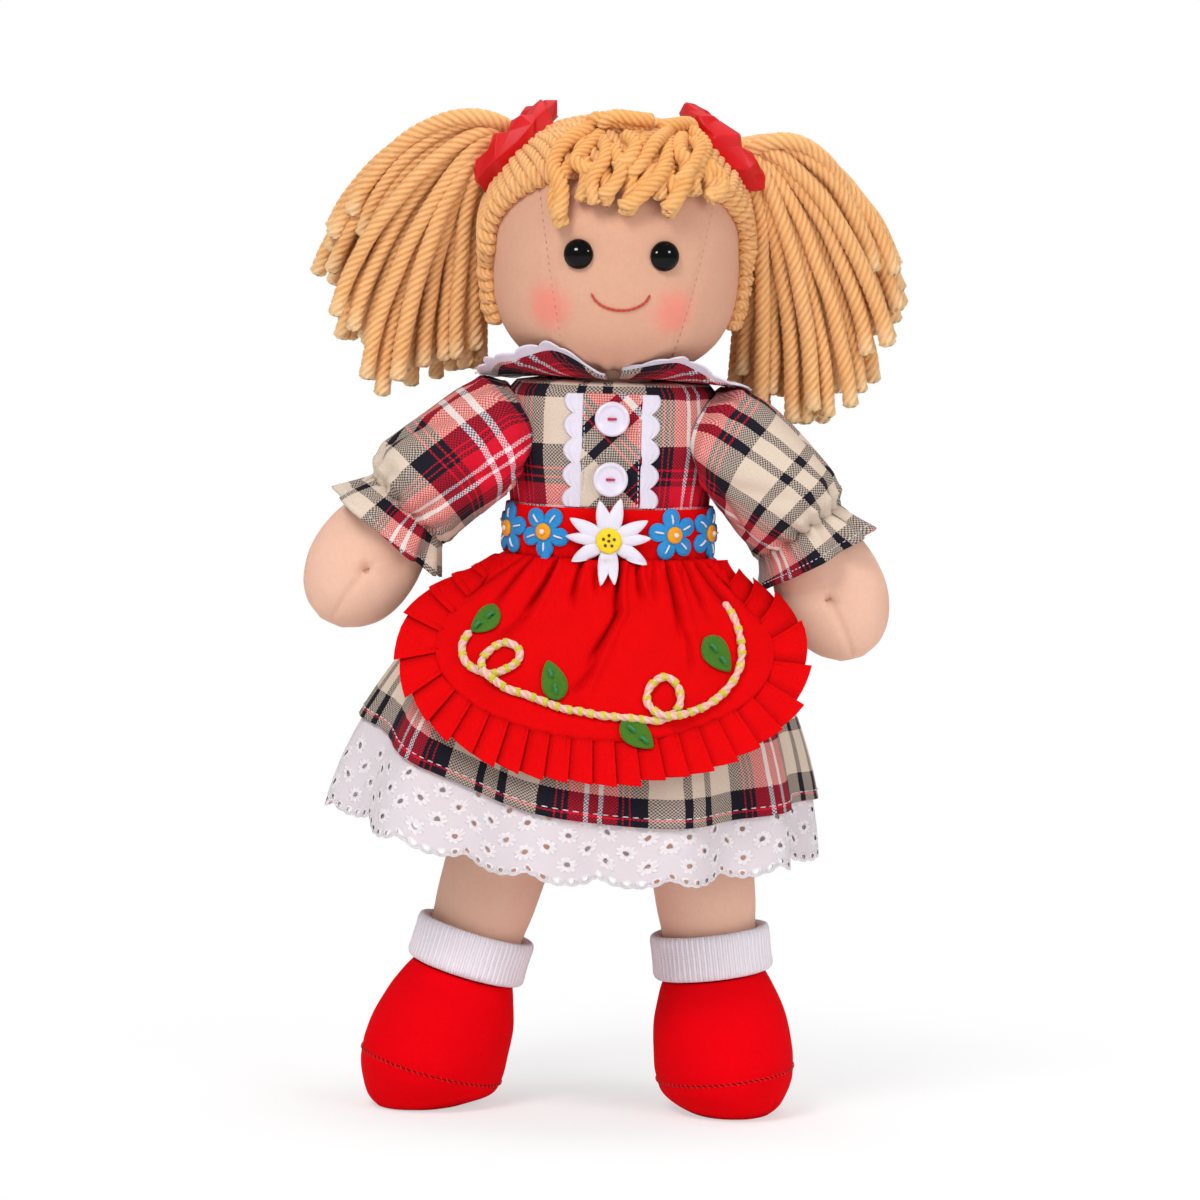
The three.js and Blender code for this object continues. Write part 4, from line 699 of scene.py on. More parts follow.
def yarn_strands(name, paths, finish, spacing, pitch, plies=5, depth=0.16, around=15, loose=0.0):
    """Twisted strands along paths of (points, radius at a share of the way); loose ends open into their plies."""
    points, faces, corners, tips, angles = [], [], [], [], turns(around)
    for number, (line, radius) in enumerate(paths):
        centre = smooth_path(line, spacing)
        count = len(centre)
        frame_side = None
        turn = number * 1.7
        base = len(points)
        for k, c in enumerate(centre):
            ahead = centre[min(count - 1, k + 1)] - centre[max(0, k - 1)]
            ahead.normalize()
            if frame_side is None:
                frame_side = ahead.orthogonal().normalized()
            frame_side = (frame_side - ahead * frame_side.dot(ahead)).normalized()
            other = ahead.cross(frame_side)
            share = k / (count - 1)
            end = min(share, 1 - share) * (count - 1) * spacing
            left = (count - 1 - k) * spacing
            open_end = loose * clamp(1 - left / 5) ** 1.5
            tips += [clamp(1 - left / 9)] * around
            r = radius(share) * math.sqrt(clamp(0.3 + end / 1.2)) * (1 + 0.16 * open_end)
            turn += spacing / pitch * math.tau
            for angle in angles:
                lobe = 1 - (depth + 0.3 * open_end) * (1 - abs(math.sin(plies * angle / 2)) ** 0.7)
                at = angle + turn
                points.append(c + (frame_side * math.cos(at) + other * math.sin(at)) * r * lobe)
        for k in range(count - 1):
            for i in range(around):
                j = (i + 1) % around
                a = base + k * around
                faces.append([a + i, a + j, a + around + j, a + around + i])
                u0, u1 = k * spacing / 10 + number, (k + 1) * spacing / 10 + number
                v0, v1 = i / around, (i + 1) / around
                corners.append([(u0, v0), (u0, v1), (u1, v1), (u1, v0)])
        for k, ring in ((0, base), (count - 1, base + (count - 1) * around)):
            way = centre[0] - centre[1] if k == 0 else centre[-1] - centre[-2]
            points.append(centre[k] + way.normalized() * radius(k / (count - 1)) * (0.35 - 0.5 * loose * (k > 0)))
            tips.append(1.0 if k else 0.0)
            tip = len(points) - 1
            for i in range(around):
                j = (i + 1) % around
                pair = [ring + j, ring + i] if k == 0 else [ring + i, ring + j]
                faces.append([*pair, tip])
                u = k * spacing / 10 + number
                uv = [(u, (i + 1) / around), (u, i / around)] if k == 0 else [(u, i / around), (u, (i + 1) / around)]
                corners.append([*uv, (u, (i + 0.5) / around)])
    made = new_piece(name, points, faces, corners, finish)
    made.data.attributes.new("tip", "FLOAT", "POINT").data.foreach_set("value", tips)
    return made


def stitch(start, end, lift, width, out):
    """The path of one hand stitch that rises out of the cloth, crosses it and goes back in."""
    start, end, out = Vector(start), Vector(end), Vector(out)
    rise = [
        start.lerp(end, 0.16) + out * lift, (start + end) / 2 + out * lift * 1.15, start.lerp(end, 0.84) + out * lift
    ]
    return [start - out * width * 0.4, *rise, end - out * width * 0.4], lambda share: width / 2


def sewn(name, paths, finish, spacing=0.4, plies=2, pitch=2.5, depth=0.15, around=6):
    """Hand stitches in one thread."""
    return yarn_strands(name, paths, finish, spacing, pitch, plies, depth, around)


# ---- Forms shared by several pieces ----
def head_share(rise):
    """How wide the head is at a height from its middle, as a share of its widest."""
    share = min(1.0, abs(rise) / (HEAD_HEIGHT / 2))
    fullness = CHIN_FULLNESS if rise < 0 else CROWN_FULLNESS
    return max(0.0, 1 - share ** fullness) ** (1 / fullness)


def head_place(way, lift=0.0):
    """The point of the head's skin, or lifted off it, in a direction from the head's middle."""
    way = Vector(way).normalized()
    low, high = 10.0, 80.0
    for _ in range(22):
        middle = (low + high) / 2
        p = way * middle
        share = head_share(p.z) if abs(p.z) < HEAD_HEIGHT / 2 else 0.0
        inside = share > 0 and (p.x / (share * HEAD_WIDTH / 2)) ** 2 + (p.y / (share * HEAD_DEPTH / 2)) ** 2 < 1
        low, high = (middle, high) if inside else (low, middle)
    return way * (low + lift)


def face_place(x, rise, lift=0.0):
    """A place on the front of the head, given as it is seen from in front."""
    share = head_share(rise)
    across = min(0.999, abs(x) / (share * HEAD_WIDTH / 2))
    p = Vector((x, -share * HEAD_DEPTH / 2 * math.sqrt(1 - across * across), rise))
    return p + face_out(p) * lift


def face_out(p):
    return Vector((p.x / (HEAD_WIDTH / 2) ** 2, p.y / (HEAD_DEPTH / 2) ** 2, p.z / (HEAD_HEIGHT / 2) ** 2)).normalized()


def on_head(p):
    """From the head's own frame to the doll's."""
    turned = Matrix.Rotation(HEAD_TURN, 3, "Z") @ Vector(p)
    return turned + Vector((0, 0, HEAD_CENTRE))


def bell_at(z):
    """The skirts' form at a height: half width, half depth, shift to the side, and how far down it is."""
    down = clamp((SKIRT_TOP - z) / BELL_DROP)
    opened = math.sin(down * math.pi / 2) ** BELL_ROUNDNESS
    return mix(
        WAIST_WIDTH, BELL_WIDTH, opened
    ) / 2, mix(WAIST_DEPTH, BELL_DEPTH, opened) / 2, -BELL_SIDEWAYS * opened, down


def hem_height(hem, turn):
    """The height of an uneven hem at an angle, from its heights at the four sides."""
    sides, ends = (hem["left"] + hem["right"]) / 2, (hem["front"] + hem["back"]) / 2
    return (
        (sides + ends) / 2
        + (hem["left"] - hem["right"]) / 2 * math.cos(turn)
        + (hem["back"] - hem["front"]) / 2 * math.sin(turn)
        + (sides - ends) / 2 * math.cos(turn * 2)
    )


# The bodice from its waist to its neck: the share of its height, and of its half width and half depth
BODICE_FORM = [
    (0, 0.9, 0.94), (0.3, 0.92, 0.96), (0.6, 0.99, 1), (0.84, 0.99, 0.94), (0.93, 0.97, 0.88), (0.98, 0.9, 0.8),
    (1, 0.68, 0.64),
]


def bodice_at(z):
    low, high, s = step_in(BODICE_FORM, clamp((z - BODICE_BOTTOM) / (BODICE_TOP - BODICE_BOTTOM)))
    return mix(low[1], high[1], s) * BODICE_WIDTH / 2, mix(low[2], high[2], s) * BODICE_DEPTH / 2


def round_oval(a, b, arc):
    """The place that lies an arc's length round an oval from its front, and the way out there."""
    side = -1 if arc < 0 else 1
    want, step = abs(arc), math.pi / 360
    turn = gone = 0.0
    while gone < want and turn < math.pi:
        gone += math.hypot(a * math.cos(turn), b * math.sin(turn)) * step
        turn += step
    if gone > want:
        last = math.hypot(a * math.cos(turn), b * math.sin(turn)) * step
        turn -= step * ((gone - want) / max(1e-6, last))
    at = Vector((side * a * math.sin(turn), -b * math.cos(turn), 0))
    return at, Vector((at.x / (a * a), at.y / (b * b), 0)).normalized()


def on_bodice(arc, z, lift):
    """The same on the bodice alone."""
    at, out = round_oval(*bodice_at(z), arc)
    return at + out * lift + Vector((0, 0, z))


def front_at(z):
    """Half sizes of the outermost cloth in front: the waistband above, the apron's seat below."""
    above = bodice_at(max(z, BODICE_BOTTOM))
    band = clamp((z - BODICE_BOTTOM) / BAND_HEIGHT)
    plies = 1.9 + 1.2 * (1 - band)
    edge = (above[0] + plies, above[1] + plies, 0.0)
    if z >= BODICE_BOTTOM:
        return edge
    a, b, x, down = bell_at(z)
    spread = ease(clamp(down / 0.22))
    over = APRON_SEAT + 5 * down
    return max(edge[0], a + over) + 20 * spread, max(edge[1], b + over), x * (1 - 0.5 * spread)


def on_front(x, z, lift):
    """A place on the front at a distance round it and a height, lifted off it."""
    a, b, shift = front_at(z)
    at, out = round_oval(a, b, x - shift)
    return at + out * lift + Vector((shift, 0, z))


def front_frame(x, z, lift):
    """A place on the front with the ways right, up and out there, for flat things that are sewn on."""
    at = on_front(x, z, lift)
    right = (on_front(x + 1, z, lift) - on_front(x - 1, z, lift)).normalized()
    up = (on_front(x, z + 1, lift) - on_front(x, z - 1, lift)).normalized()
    return at, right, up, right.cross(up).normalized()


def front_out(x, z):
    return front_frame(x, z, 0)[3]


def front_place(x, z, lift):
    """Puts small turned things on the front, their axis standing out from it."""
    at, right, up, out = front_frame(x, z, lift)
    return lambda p: at + right * p.x + up * p.y + out * p.z


def limb_station(side, angles, along):
    """The place along an arm that bends evenly from one angle to another, and the angle there."""
    steps = 40
    x = z = 0.0
    angle = math.radians(angles[0])
    for i in range(steps):
        share = (i + 0.5) / steps * along / ARM_LENGTH
        angle = math.radians(mix(angles[0], angles[1], share))
        x += side * math.sin(angle) * along / steps
        z -= math.cos(angle) * along / steps
    return Vector((x, 0, z)), angle


def limb_point(side, at, angle, across, through, turn):
    spread = Vector((side * math.cos(angle), 0, math.sin(angle)))
    return at + spread * across * math.cos(turn) + Vector((0, through * math.sin(turn), 0))


# ---- Finishes ----
SKIN = skin_material("doll skin jersey", rgb(238, 196, 174), rgb(218, 168, 144))
FACE_SKIN = skin_material(
    "face jersey",
    rgb(220, 172, 146),
    rgb(200, 148, 124),
    [
        ((-0.0208, -0.0275, 0.2748), 0.0125, 0.62, rgb(238, 120, 110)),
        ((0.0192, -0.0285, 0.2742), 0.0125, 0.62, rgb(238, 120, 110)),
    ],
)
YARN_HAIR = yarned(
    "apricot yarn", rgb(252, 200, 138), rgb(222, 146, 84), plies=5.0, sheen=0.25, tint=rgb(255, 224, 180),
    tip=rgb(255, 226, 178),
)
# A darker copy of the hair yarn for the sheet under the strands: painted shade between and beneath them.
YARN_PAINTED_SHADE = yarned("apricot yarn below", rgb(224, 154, 88), rgb(170, 92, 40), plies=9.0, sheen=0.2)
RED_COTTON = woven("red cotton", rgb(230, 2, 5), rgb(198, 0, 4), threads=22.0)
YARN_FRINGE = yarned(
    "apricot fringe yarn", rgb(248, 188, 118), rgb(220, 140, 72), plies=5.0, sheen=0.2, tint=rgb(255, 220, 170),
    tip=rgb(250, 200, 136),
)
RED_SATIN = woven(
    "red hair tie", rgb(214, 10, 18), rgb(176, 4, 12), threads=26.0, roughness=0.42, specular=0.25, strength=0.12
)
BLACK_EYE = plain("black eye", rgb(6, 5, 6), 0.1, specular=0.16)
THREAD_MOUTH = thread("mouth thread", rgb(214, 70, 36), rgb(160, 40, 20))
THREAD_SEAM = thread("seam thread", rgb(196, 140, 112), rgb(160, 104, 82))
THREAD_WHITE = thread("white thread", rgb(240, 236, 242), rgb(206, 200, 214))
THREAD_PINK = thread("pink thread", rgb(214, 24, 84), rgb(166, 12, 60))
THREAD_YELLOW = thread("yellow thread", rgb(228, 226, 40), rgb(196, 186, 16))
THREAD_GREEN = thread("bright green thread", rgb(4, 146, 78), rgb(0, 98, 48))
FELT_BLUE = felt("blue felt", rgb(52, 152, 216), rgb(24, 108, 178))
FELT_ORANGE = felt("orange felt", rgb(246, 170, 34), rgb(220, 128, 14))
FELT_YELLOW = felt("yellow felt", rgb(250, 222, 50), rgb(228, 190, 24))
FELT_GREEN = felt("green felt", rgb(80, 130, 36), rgb(46, 92, 20), sheen=0.06)
SATIN_WHITE = thread("white satin stitch", rgb(232, 228, 238), rgb(206, 200, 216))
RIC_RAC = thread("ric-rac braid", rgb(226, 220, 232), rgb(200, 192, 210))
KNOT_PEARL = thread("pearly knot", rgb(240, 226, 214), rgb(212, 190, 176))
KNOT_BROWN = thread("brown knot", rgb(96, 56, 24), rgb(58, 32, 12))
VINE_YARN = yarned("vine yarn", rgb(246, 206, 188), rgb(222, 166, 144), plies=3.0, sheen=0.3)
CHECK_STRAIGHT = checked("dress check")
CHECK_SLEEVE_RIGHT = checked("dress check, right sleeve", math.radians(-5))
CHECK_SLEEVE_LEFT = checked("dress check, left sleeve", math.radians(5))
CHECK_BIAS = checked("dress check, on the bias", math.radians(45), (5.42, 7.0, 0))
CHECK_COLLAR = checked("dress check, collar", math.radians(8), (5.3, 1.1, 0))
EYELET = eyelet_material("eyelet cotton")
SOCK = ribbed_material("white rib", rgb(250, 243, 250), rgb(220, 210, 222), 11.0)
SHOE = skin_material("red shoe jersey", rgb(240, 2, 16), rgb(214, 1, 11), sheen=0.0, specular=0.03)
SHOE_THREAD = thread("shoe thread", rgb(206, 20, 26), rgb(160, 8, 14))
BUTTON = plain("white shirt button", rgb(216, 208, 224), 0.35, coat=0.3)
NYLON = plain("white nylon washer", rgb(230, 228, 224), 0.5)


# ---- Head, eyes and mouth ----
SEAM_LINES = {-1: [(-27.4, 20), (-24.3, -2.7), (-19.5, -27.8)], 1: [(30.9, 17.8), (26.4, -4.4), (18.4, -34.2)]}


def seam_x(side, rise):
    """Where a face seam stands, as seen from in front, at a height from the head's middle."""
    (x0, z0), (x1, z1), (x2, z2) = SEAM_LINES[side]
    a = (rise - z1) * (rise - z2) / ((z0 - z1) * (z0 - z2))
    b = (rise - z0) * (rise - z2) / ((z1 - z0) * (z1 - z2))
    c = (rise - z0) * (rise - z1) / ((z2 - z0) * (z2 - z1))
    return a * x0 + b * x1 + c * x2


def face_relief(x, rise):
    """How far the face stands off its plain form: eyes pulled in, seams sunk, stuffing a little uneven."""
    off = 0.35 * wander(x * 0.05, rise * 0.05, 3.0)
    for side in (-1, 1):
        ex = side * EYE_SPACING / 2
        far = math.hypot(x - ex, rise)
        off -= 1.3 * bump(far / 7.5)
        off += 0.5 * bump(math.hypot(x - ex, rise - 12) / 8)
        away = (x - seam_x(side, rise)) / 1.5
        reach = clamp((24 - rise) / 8) * clamp((rise + 38) / 8)
        off -= (0.42 + 0.12 * math.sin(rise * 2.6)) * bump(away) * reach
        off += 0.2 * bump(away / 2.6) * reach
    return off


def make_head():
    levels, steps = 120, 180
    rings = []
    for j in range(levels + 1):
        rise = -math.cos((j + 0.35) / (levels + 0.7) * math.pi) * HEAD_HEIGHT / 2
        share = head_share(rise)
        ring = []
        for turn in turns(steps):
            p = oval(share * HEAD_WIDTH / 2, share * HEAD_DEPTH / 2, turn, rise)
            front = clamp(-math.sin(turn) * 1.6)
            off = face_relief(p.x, rise) * front + 0.3 * wander(p.x * 0.04, p.y * 0.04, rise * 0.04) * (1 - front)
            gather = clamp((-rise - 31) / 9)
            off += 0.5 * gather * math.cos(turn * 22 + 0.6 * math.sin(3 * turn))
            ring.append(on_head(p + face_out(p) * off))
        rings.append(ring)
    made = body_of("head_skin", rings, lambda r, c: (c / steps * 25.5, r / levels * 12.6), FACE_SKIN)
    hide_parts("head")
    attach(made, "head")


def turned(name, profile, steps, finish, place):
    """A form turned about its own axis from distances out and heights, then put in place."""
    rings = [[place(oval(r, r, turn, h)) for turn in turns(steps)] for r, h in profile]
    return body_of(name, rings, lambda r, c: (c / steps * 3, r * 0.1), finish)


def eye_place(side, sunk):
    x = side * EYE_SPACING / 2
    seat = face_place(x, 0) + Vector((0, -0.3 + sunk, 0))
    lean = math.atan2(seat.x / (HEAD_WIDTH / 2) ** 2, -seat.y / (HEAD_DEPTH / 2) ** 2)
    turn = Matrix.Rotation(lean, 3, "Z") @ Matrix.Rotation(math.pi / 2, 3, "X")
    return lambda p: on_head(turn @ p + seat)


def make_eye(side, word):
    r = EYE_DIAMETER / 2
    profile = [(1.6, -9), (1.6, 0), (r * 0.86, 0), (r * 0.95, r * 0.03)]
    profile += [
        (r * math.cos(t * math.pi / 2 * 0.985), r * (0.1 + 0.66 * math.sin(t * math.pi / 2)))
        for t in (k / 14 for k in range(15))
    ]
    made = turned("eye_dome_" + word, profile, 48, BLACK_EYE, eye_place(side, 1.3))
    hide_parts("eye_" + word)
    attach(made, "head")


def make_mouth():
    line = []
    half_width, curve, corners_at, steps = 9.7, 6.6, -13, 24
    for k in range(steps + 1):
        u = mix(-1, 1, k / steps)
        x = u * half_width
        rise = corners_at - curve * math.sqrt(1 - 0.96 * u * u) + curve * 0.2
        line.append(on_head(face_place(x, rise, 0.25 + face_relief(x, rise))))
    made = sewn("smile_stitching", [(line, lambda s: 0.5)], THREAD_MOUTH, 0.22, pitch=3.4, depth=0.34, around=8)
    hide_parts("mouth_thread")
    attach(made, "head")


def make_face_seams():
    paths = []
    for side in (-1, 1):
        low, high = (-33, 22) if side < 0 else (-34, 20)
        count = int((high - low) / 2.3)
        for k in range(count):
            rise = mix(low, high, k / count)
            ends = [rise, rise + 1.3]
            pts = [
                face_place(seam_x(side, z) + 0.15 * wander(z, side), z, face_relief(seam_x(side, z), z)) for z in ends
            ]
            line, radius = stitch(pts[0], pts[1], 0.05, 0.34, face_out(pts[0]))
            paths.append(([on_head(p) for p in line], radius))
    made = sewn("face_seam_stitches", paths, THREAD_SEAM, pitch=2, depth=0.1)
    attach(made, "head")


# ---- Yarn hair ----
def tie_way(side):
    return Vector((side * math.cos(BUNCH_ANGLE), 0, math.sin(BUNCH_ANGLE)))


def tie_seat(side):
    return tie_way(side) * TIE_REACH + Vector((0, BUNCH_SET_BACK, 0))


def hair_edge(side):
    """The edge of one half of the yarn: up the face, along the parting, down to the nape and back to the cheek."""
    edge = []
    for k in range(5):
        edge.append((Vector((side * 41.2, 1.5 - k * 0.3, mix(-25, -5, k / 4))), Vector((0, 1, 0.15))))
    for k in range(15):
        turn = k / 14 * math.pi / 2
        x = 41.3 * abs(math.cos(turn)) ** 0.85
        p = face_place(side * min(x, 40.9), 26 * math.sin(turn) ** 0.85)
        away = Vector((side * math.cos(turn), 0.9, 0.4 + 0.5 * math.sin(turn)))
        edge.append((p, away))
    for k in range(19):
        turn = mix(math.radians(52), math.radians(205), k / 18)
        p = head_place((0, -math.cos(turn), math.sin(turn)))
        edge.append((Vector((side * 1.2, p.y, p.z)), Vector((side, 0, 0.1))))
    for k in range(1, 10):
        turn = mix(0, math.pi / 2, k / 10)
        p = head_place((side * math.sin(turn) * 1.0, math.cos(turn), -0.62 + 0.06 * math.sin(turn)))
        edge.append((p, Vector((side * 0.3, 0.25, 1))))
    return edge


def edge_marks(side, spacing):
    edge = hair_edge(side)
    closed = [*edge, edge[0]]
    far = lengths_along([p for p, _ in closed])
    count = round(far[-1] / spacing)
    marks, at = [], 0
    for k in range(count):
        want = far[-1] * k / count
        while far[at + 1] < want:
            at += 1
        t = (want - far[at]) / (far[at + 1] - far[at])
        marks.append((closed[at][0].lerp(closed[at + 1][0], t), closed[at][1].lerp(closed[at + 1][1], t).normalized()))
    return marks


def hair_line(side, start, away, lift, reach, steps=9):
    """A line over the head from the edge of the yarn to the tie, at a height over the skin."""
    target = tie_seat(side).normalized() * 45
    gap = (target - start).length
    bend = start + away * min(24, gap * 0.42)
    aim = bend - target
    aim -= target.normalized() * aim.dot(target.normalized())
    end = target + aim.normalized() * min(reach, gap * 0.7)
    line = []
    for k in range(steps):
        t = k / (steps - 1)
        p = start * (1 - t) ** 2 + bend * 2 * t * (1 - t) + end * t * t
        rise = lift * ease(clamp(t * 5 + 0.25)) + 1.2 * ease(t)
        line.append(head_place(p, rise))
    return line


def make_hair_cap(side, word):
    chance = random.Random(11 if side < 0 else 12)
    paths = []
    for start, away in edge_marks(side, 4.0):
        lift = 3.6 + chance.uniform(-0.25, 0.45)
        line = [on_head(p) for p in hair_line(side, start, away, lift, 9.0)]
        size = chance.uniform(0.95, 1.06)
        paths.append((line, lambda s, size=size: size * mix(2.45, 1.6, ease(s))))
    made = yarn_strands("hair_cap_" + word, paths, YARN_HAIR, spacing=1.1, pitch=13)
    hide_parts("hair_cap")
    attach(made, "head")
    marks = edge_marks(side, 3.0)
    rows = [[on_head(p) for p in hair_line(side, start, away, 2.0, 5.0, 14)] for start, away in [*marks, marks[0]]]
    # The sheet under the strands takes the darker yarn: painted shade beneath the hair.
    under = sheet_of("hair_base_" + word, rows, lambda r, c: (c * 0.3, r * 0.12), YARN_PAINTED_SHADE)
    outwards(under)
    thicken(under, 1.2)
    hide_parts("hair_cap")
    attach(under, "head")


# The curls of the fringe: points across and down over the forehead, in steps of 0.068 mm from a corner up to its right
FRINGE_STEP, FRINGE_CORNER, CROWN_RISE = 0.068, (-47.2, 53.6), 36.5
FRINGE_CURLS = [
    [(505, 348), (432, 440), (395, 550), (422, 669)],
    [(542, 238), (505, 330), (532, 440), (505, 550)],
    [(633, 293), (606, 403), (624, 513), (597, 550)],
    [(762, 275), (707, 367), (725, 477), (707, 605)],
    [(853, 312), (817, 422), (762, 513), (707, 587)],
    [(926, 330), (890, 440), (926, 532), (890, 605)],
    [(1000, 348), (982, 440), (1030, 422), (1070, 458), (1096, 522)],
    [(1036, 293), (1073, 385), (1000, 440), (1010, 520)],
    [(800, 240), (770, 340), (800, 430), (770, 500)],
    [(900, 250), (880, 360), (850, 450), (860, 540)],
    [(540, 210), (580, 180), (680, 200), (800, 210)],
    [(850, 200), (900, 220), (980, 230), (1010, 260)],
    [(600, 260), (520, 350), (490, 400), (540, 430), (600, 400)],
    [(900, 330), (860, 430), (780, 520), (680, 580)],
    [(560, 230), (450, 330), (400, 420), (430, 520), (410, 640)],
    [(960, 270), (930, 350), (960, 420), (930, 520), (880, 590)],
    [(1030, 300), (1050, 400), (1090, 450), (1110, 495), (1066, 536)],
    [(620, 300), (610, 400), (560, 480), (570, 570)],
    [(1070, 430), (1104, 494), (1086, 548)],
    [(900, 250), (820, 330), (760, 410), (700, 450)],
    [(650, 330), (680, 430), (650, 500), (590, 540)],
    [(980, 240), (1040, 330), (1010, 400), (960, 420)],
    [(1000, 300), (1010, 360), (960, 440), (920, 480)],
    [(700, 280), (740, 340), (710, 400), (650, 420)],
    [(820, 200), (740, 230), (650, 220), (590, 240)],
]


def make_fringe():
    chance = random.Random(5)
    paths = []
    for number, marks in enumerate(FRINGE_CURLS):
        high = 2.8 + 4.2 * number / len(FRINGE_CURLS)
        line = []
        for k, (across, down) in enumerate(marks):
            t = k / (len(marks) - 1)
            x, rise = across * FRINGE_STEP + FRINGE_CORNER[0], FRINGE_CORNER[1] - down * FRINGE_STEP
            lift = high + 2.4 * math.sin(t * math.pi) + chance.uniform(-0.5, 0.5)
            p = face_place(x, min(rise, CROWN_RISE), lift) + Vector((0, 0, 0.5 * max(0.0, rise - CROWN_RISE)))
            line.append(on_head(p))
        size = chance.uniform(2.45, 2.95)
        paths.append((line, lambda s, size=size: size))
    made = yarn_strands("fringe_curls", paths, YARN_FRINGE, spacing=0.8, pitch=12, loose=1.0)
    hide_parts("fringe")
    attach(made, "head")


def clear_of_head(p, room):
    skin = head_place(p)
    return p if p.length > skin.length + room else p.normalized() * (skin.length + room)


# Where the strands of each bunch end, across and up from the head's middle, and how they are spread over it
GOLDEN_SHARE = 0.618034
BUNCH_ENDS = {
    -1: [
        (-102, 2), (-101, -13), (-98, -27), (-92, -37), (-86, -45), (-79, -52), (-70, -49), (-60, -50), (-50, -46),
        (-43, -42),
    ],
    1: [(101, -6), (101, -20), (98, -34), (92, -44), (84, -50), (76, -58), (66, -62), (57, -56), (48, -52), (41, -46)],
}


def make_bunch(side, word):
    """Strands that leave the tie as a bundle, spread out, fall and end at uneven lengths."""
    chance = random.Random(21 if side < 0 else 22)
    seat, way = tie_seat(side), tie_way(side)
    over = way.cross(Vector((0, 1, 0))).normalized()
    ends = BUNCH_ENDS[side]
    paths = []
    count = 44
    for k in range(count):
        share = k * GOLDEN_SHARE % 1.0
        depth = mix(-1, 1, (k + 0.5) / count)
        place = share * (len(ends) - 1)
        i = min(len(ends) - 2, int(place))
        ex, ez = (mix(ends[i][j], ends[i + 1][j], place - i) for j in (0, 1))
        short = chance.uniform(0.0, 0.13) + (0.2 if k % 5 == 0 else 0.0)
        end = Vector((ex, 0, ez)).lerp(Vector((seat.x + side * 12, 0, seat.z)), short)
        end.y = 22 + 15 * depth * math.sqrt(max(0.1, 1 - (2 * share - 1) ** 2 * 0.75)) + chance.uniform(-1, 1)
        chance.random()  # Unused, but the strands' shapes hang on the order of the draws
        disc = 5.4 * math.sqrt(chance.uniform(0.05, 1))
        root = seat + Vector((0, 1, 0)) * (disc * depth) + over * (disc * (1 - 2 * share)) * -0.9
        start = root - way * 7
        b1 = root + way * mix(25, 13, share) + Vector((0, depth * 13, 0))
        b2 = end + Vector((-side * mix(9, -4, share), mix(-4, -1, share), mix(27, 44, share)))
        line = [start]
        for n in range(11):
            t = n / 10
            p = root * (1 - t) ** 3 + b1 * 3 * t * (1 - t) ** 2 + b2 * 3 * t * t * (1 - t) + end * t ** 3
            p += Vector((chance.uniform(-0.5, 0.5), chance.uniform(-0.4, 0.4), 0)) * t
            if t > 0.25:
                p = clear_of_head(p, 8.2)
            line.append(p)
        size = chance.uniform(0.93, 1.06)
        paths.append(([on_head(p) for p in line], lambda s, size=size: size * mix(1.6, 2.85, ease(clamp(s / 0.2)))))
    made = yarn_strands("bunch_yarn_" + word, paths, YARN_HAIR, spacing=1.05, pitch=14.5, depth=0.14, loose=1.0)
    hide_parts("hair_bunch_" + word)
    placed(on_head(seat))
    placed(on_head(seat + way * 12))
    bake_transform(made)


# The tie's section: how far out, how thick, for each line of its crumpled faces
TIE_SECTION = [(8.6, 0.5), (14.5, 0.98), (19.2, 0.86), (21.2, 0.12), (19.4, -0.84), (14.0, -0.98), (8.6, -0.5)]


def make_tie(side, word):
    """The gathered satin tube: flat crumpled faces with soft edges round the root of the bunch."""
    chance = random.Random(71 if side < 0 else 74)
    turn_to = Matrix.Rotation(side * (math.pi / 2 - BUNCH_ANGLE), 3, "Y")
    count = 20
    points = []
    for k in range(count):
        high = k % 2 == 0
        for far, up in TIE_SECTION:
            angle = (k + chance.uniform(-0.38, 0.38) + 0.5 * up) / count * math.tau
            front = abs(math.sin(angle))
            fullness = chance.uniform(0.95, 1.15) if high else chance.uniform(0.6, 0.88)
            half = TIE_THICKNESS / 2 * mix(0.6, 1.2, front) * fullness
            outer = clamp((far - 9) / 8)
            reach = far + outer * (chance.uniform(-0.8, 0.8) if high else chance.uniform(-2.2, -0.6))
            height = half * up + outer * chance.uniform(-0.9, 0.9)
            p = Vector((reach * math.cos(angle), reach * math.sin(angle), height))
            points.append(on_head(turn_to @ p + tie_seat(side)))
    faces, corners = [], []
    around = len(TIE_SECTION)
    for k in range(count):
        for j in range(around):
            m, n = (k + 1) % count, (j + 1) % around
            quad = [(k, j), (m, j), (m, n), (k, n)]
            split = ([0, 1, 2], [0, 2, 3]) if (k + j) % 2 else ([0, 1, 3], [1, 2, 3])
            for tri in split:
                faces.append([quad[i][0] * around + quad[i][1] for i in tri])
                corners.append([((k + (i in (1, 2))) / count * 13, (j + (i in (2, 3))) / around * 3) for i in tri])
    made = new_piece("hair_tie_satin_" + word, points, faces, corners, RED_SATIN)
    outwards(made)
    finished(made, "BEVEL", width=0.0007, segments=3, limit_method="ANGLE", angle_limit=math.radians(16))
    only(made)
    bpy.ops.object.shade_smooth_by_angle(angle=math.radians(34))
    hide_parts("hair_tie_" + word)
    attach(made, "head")


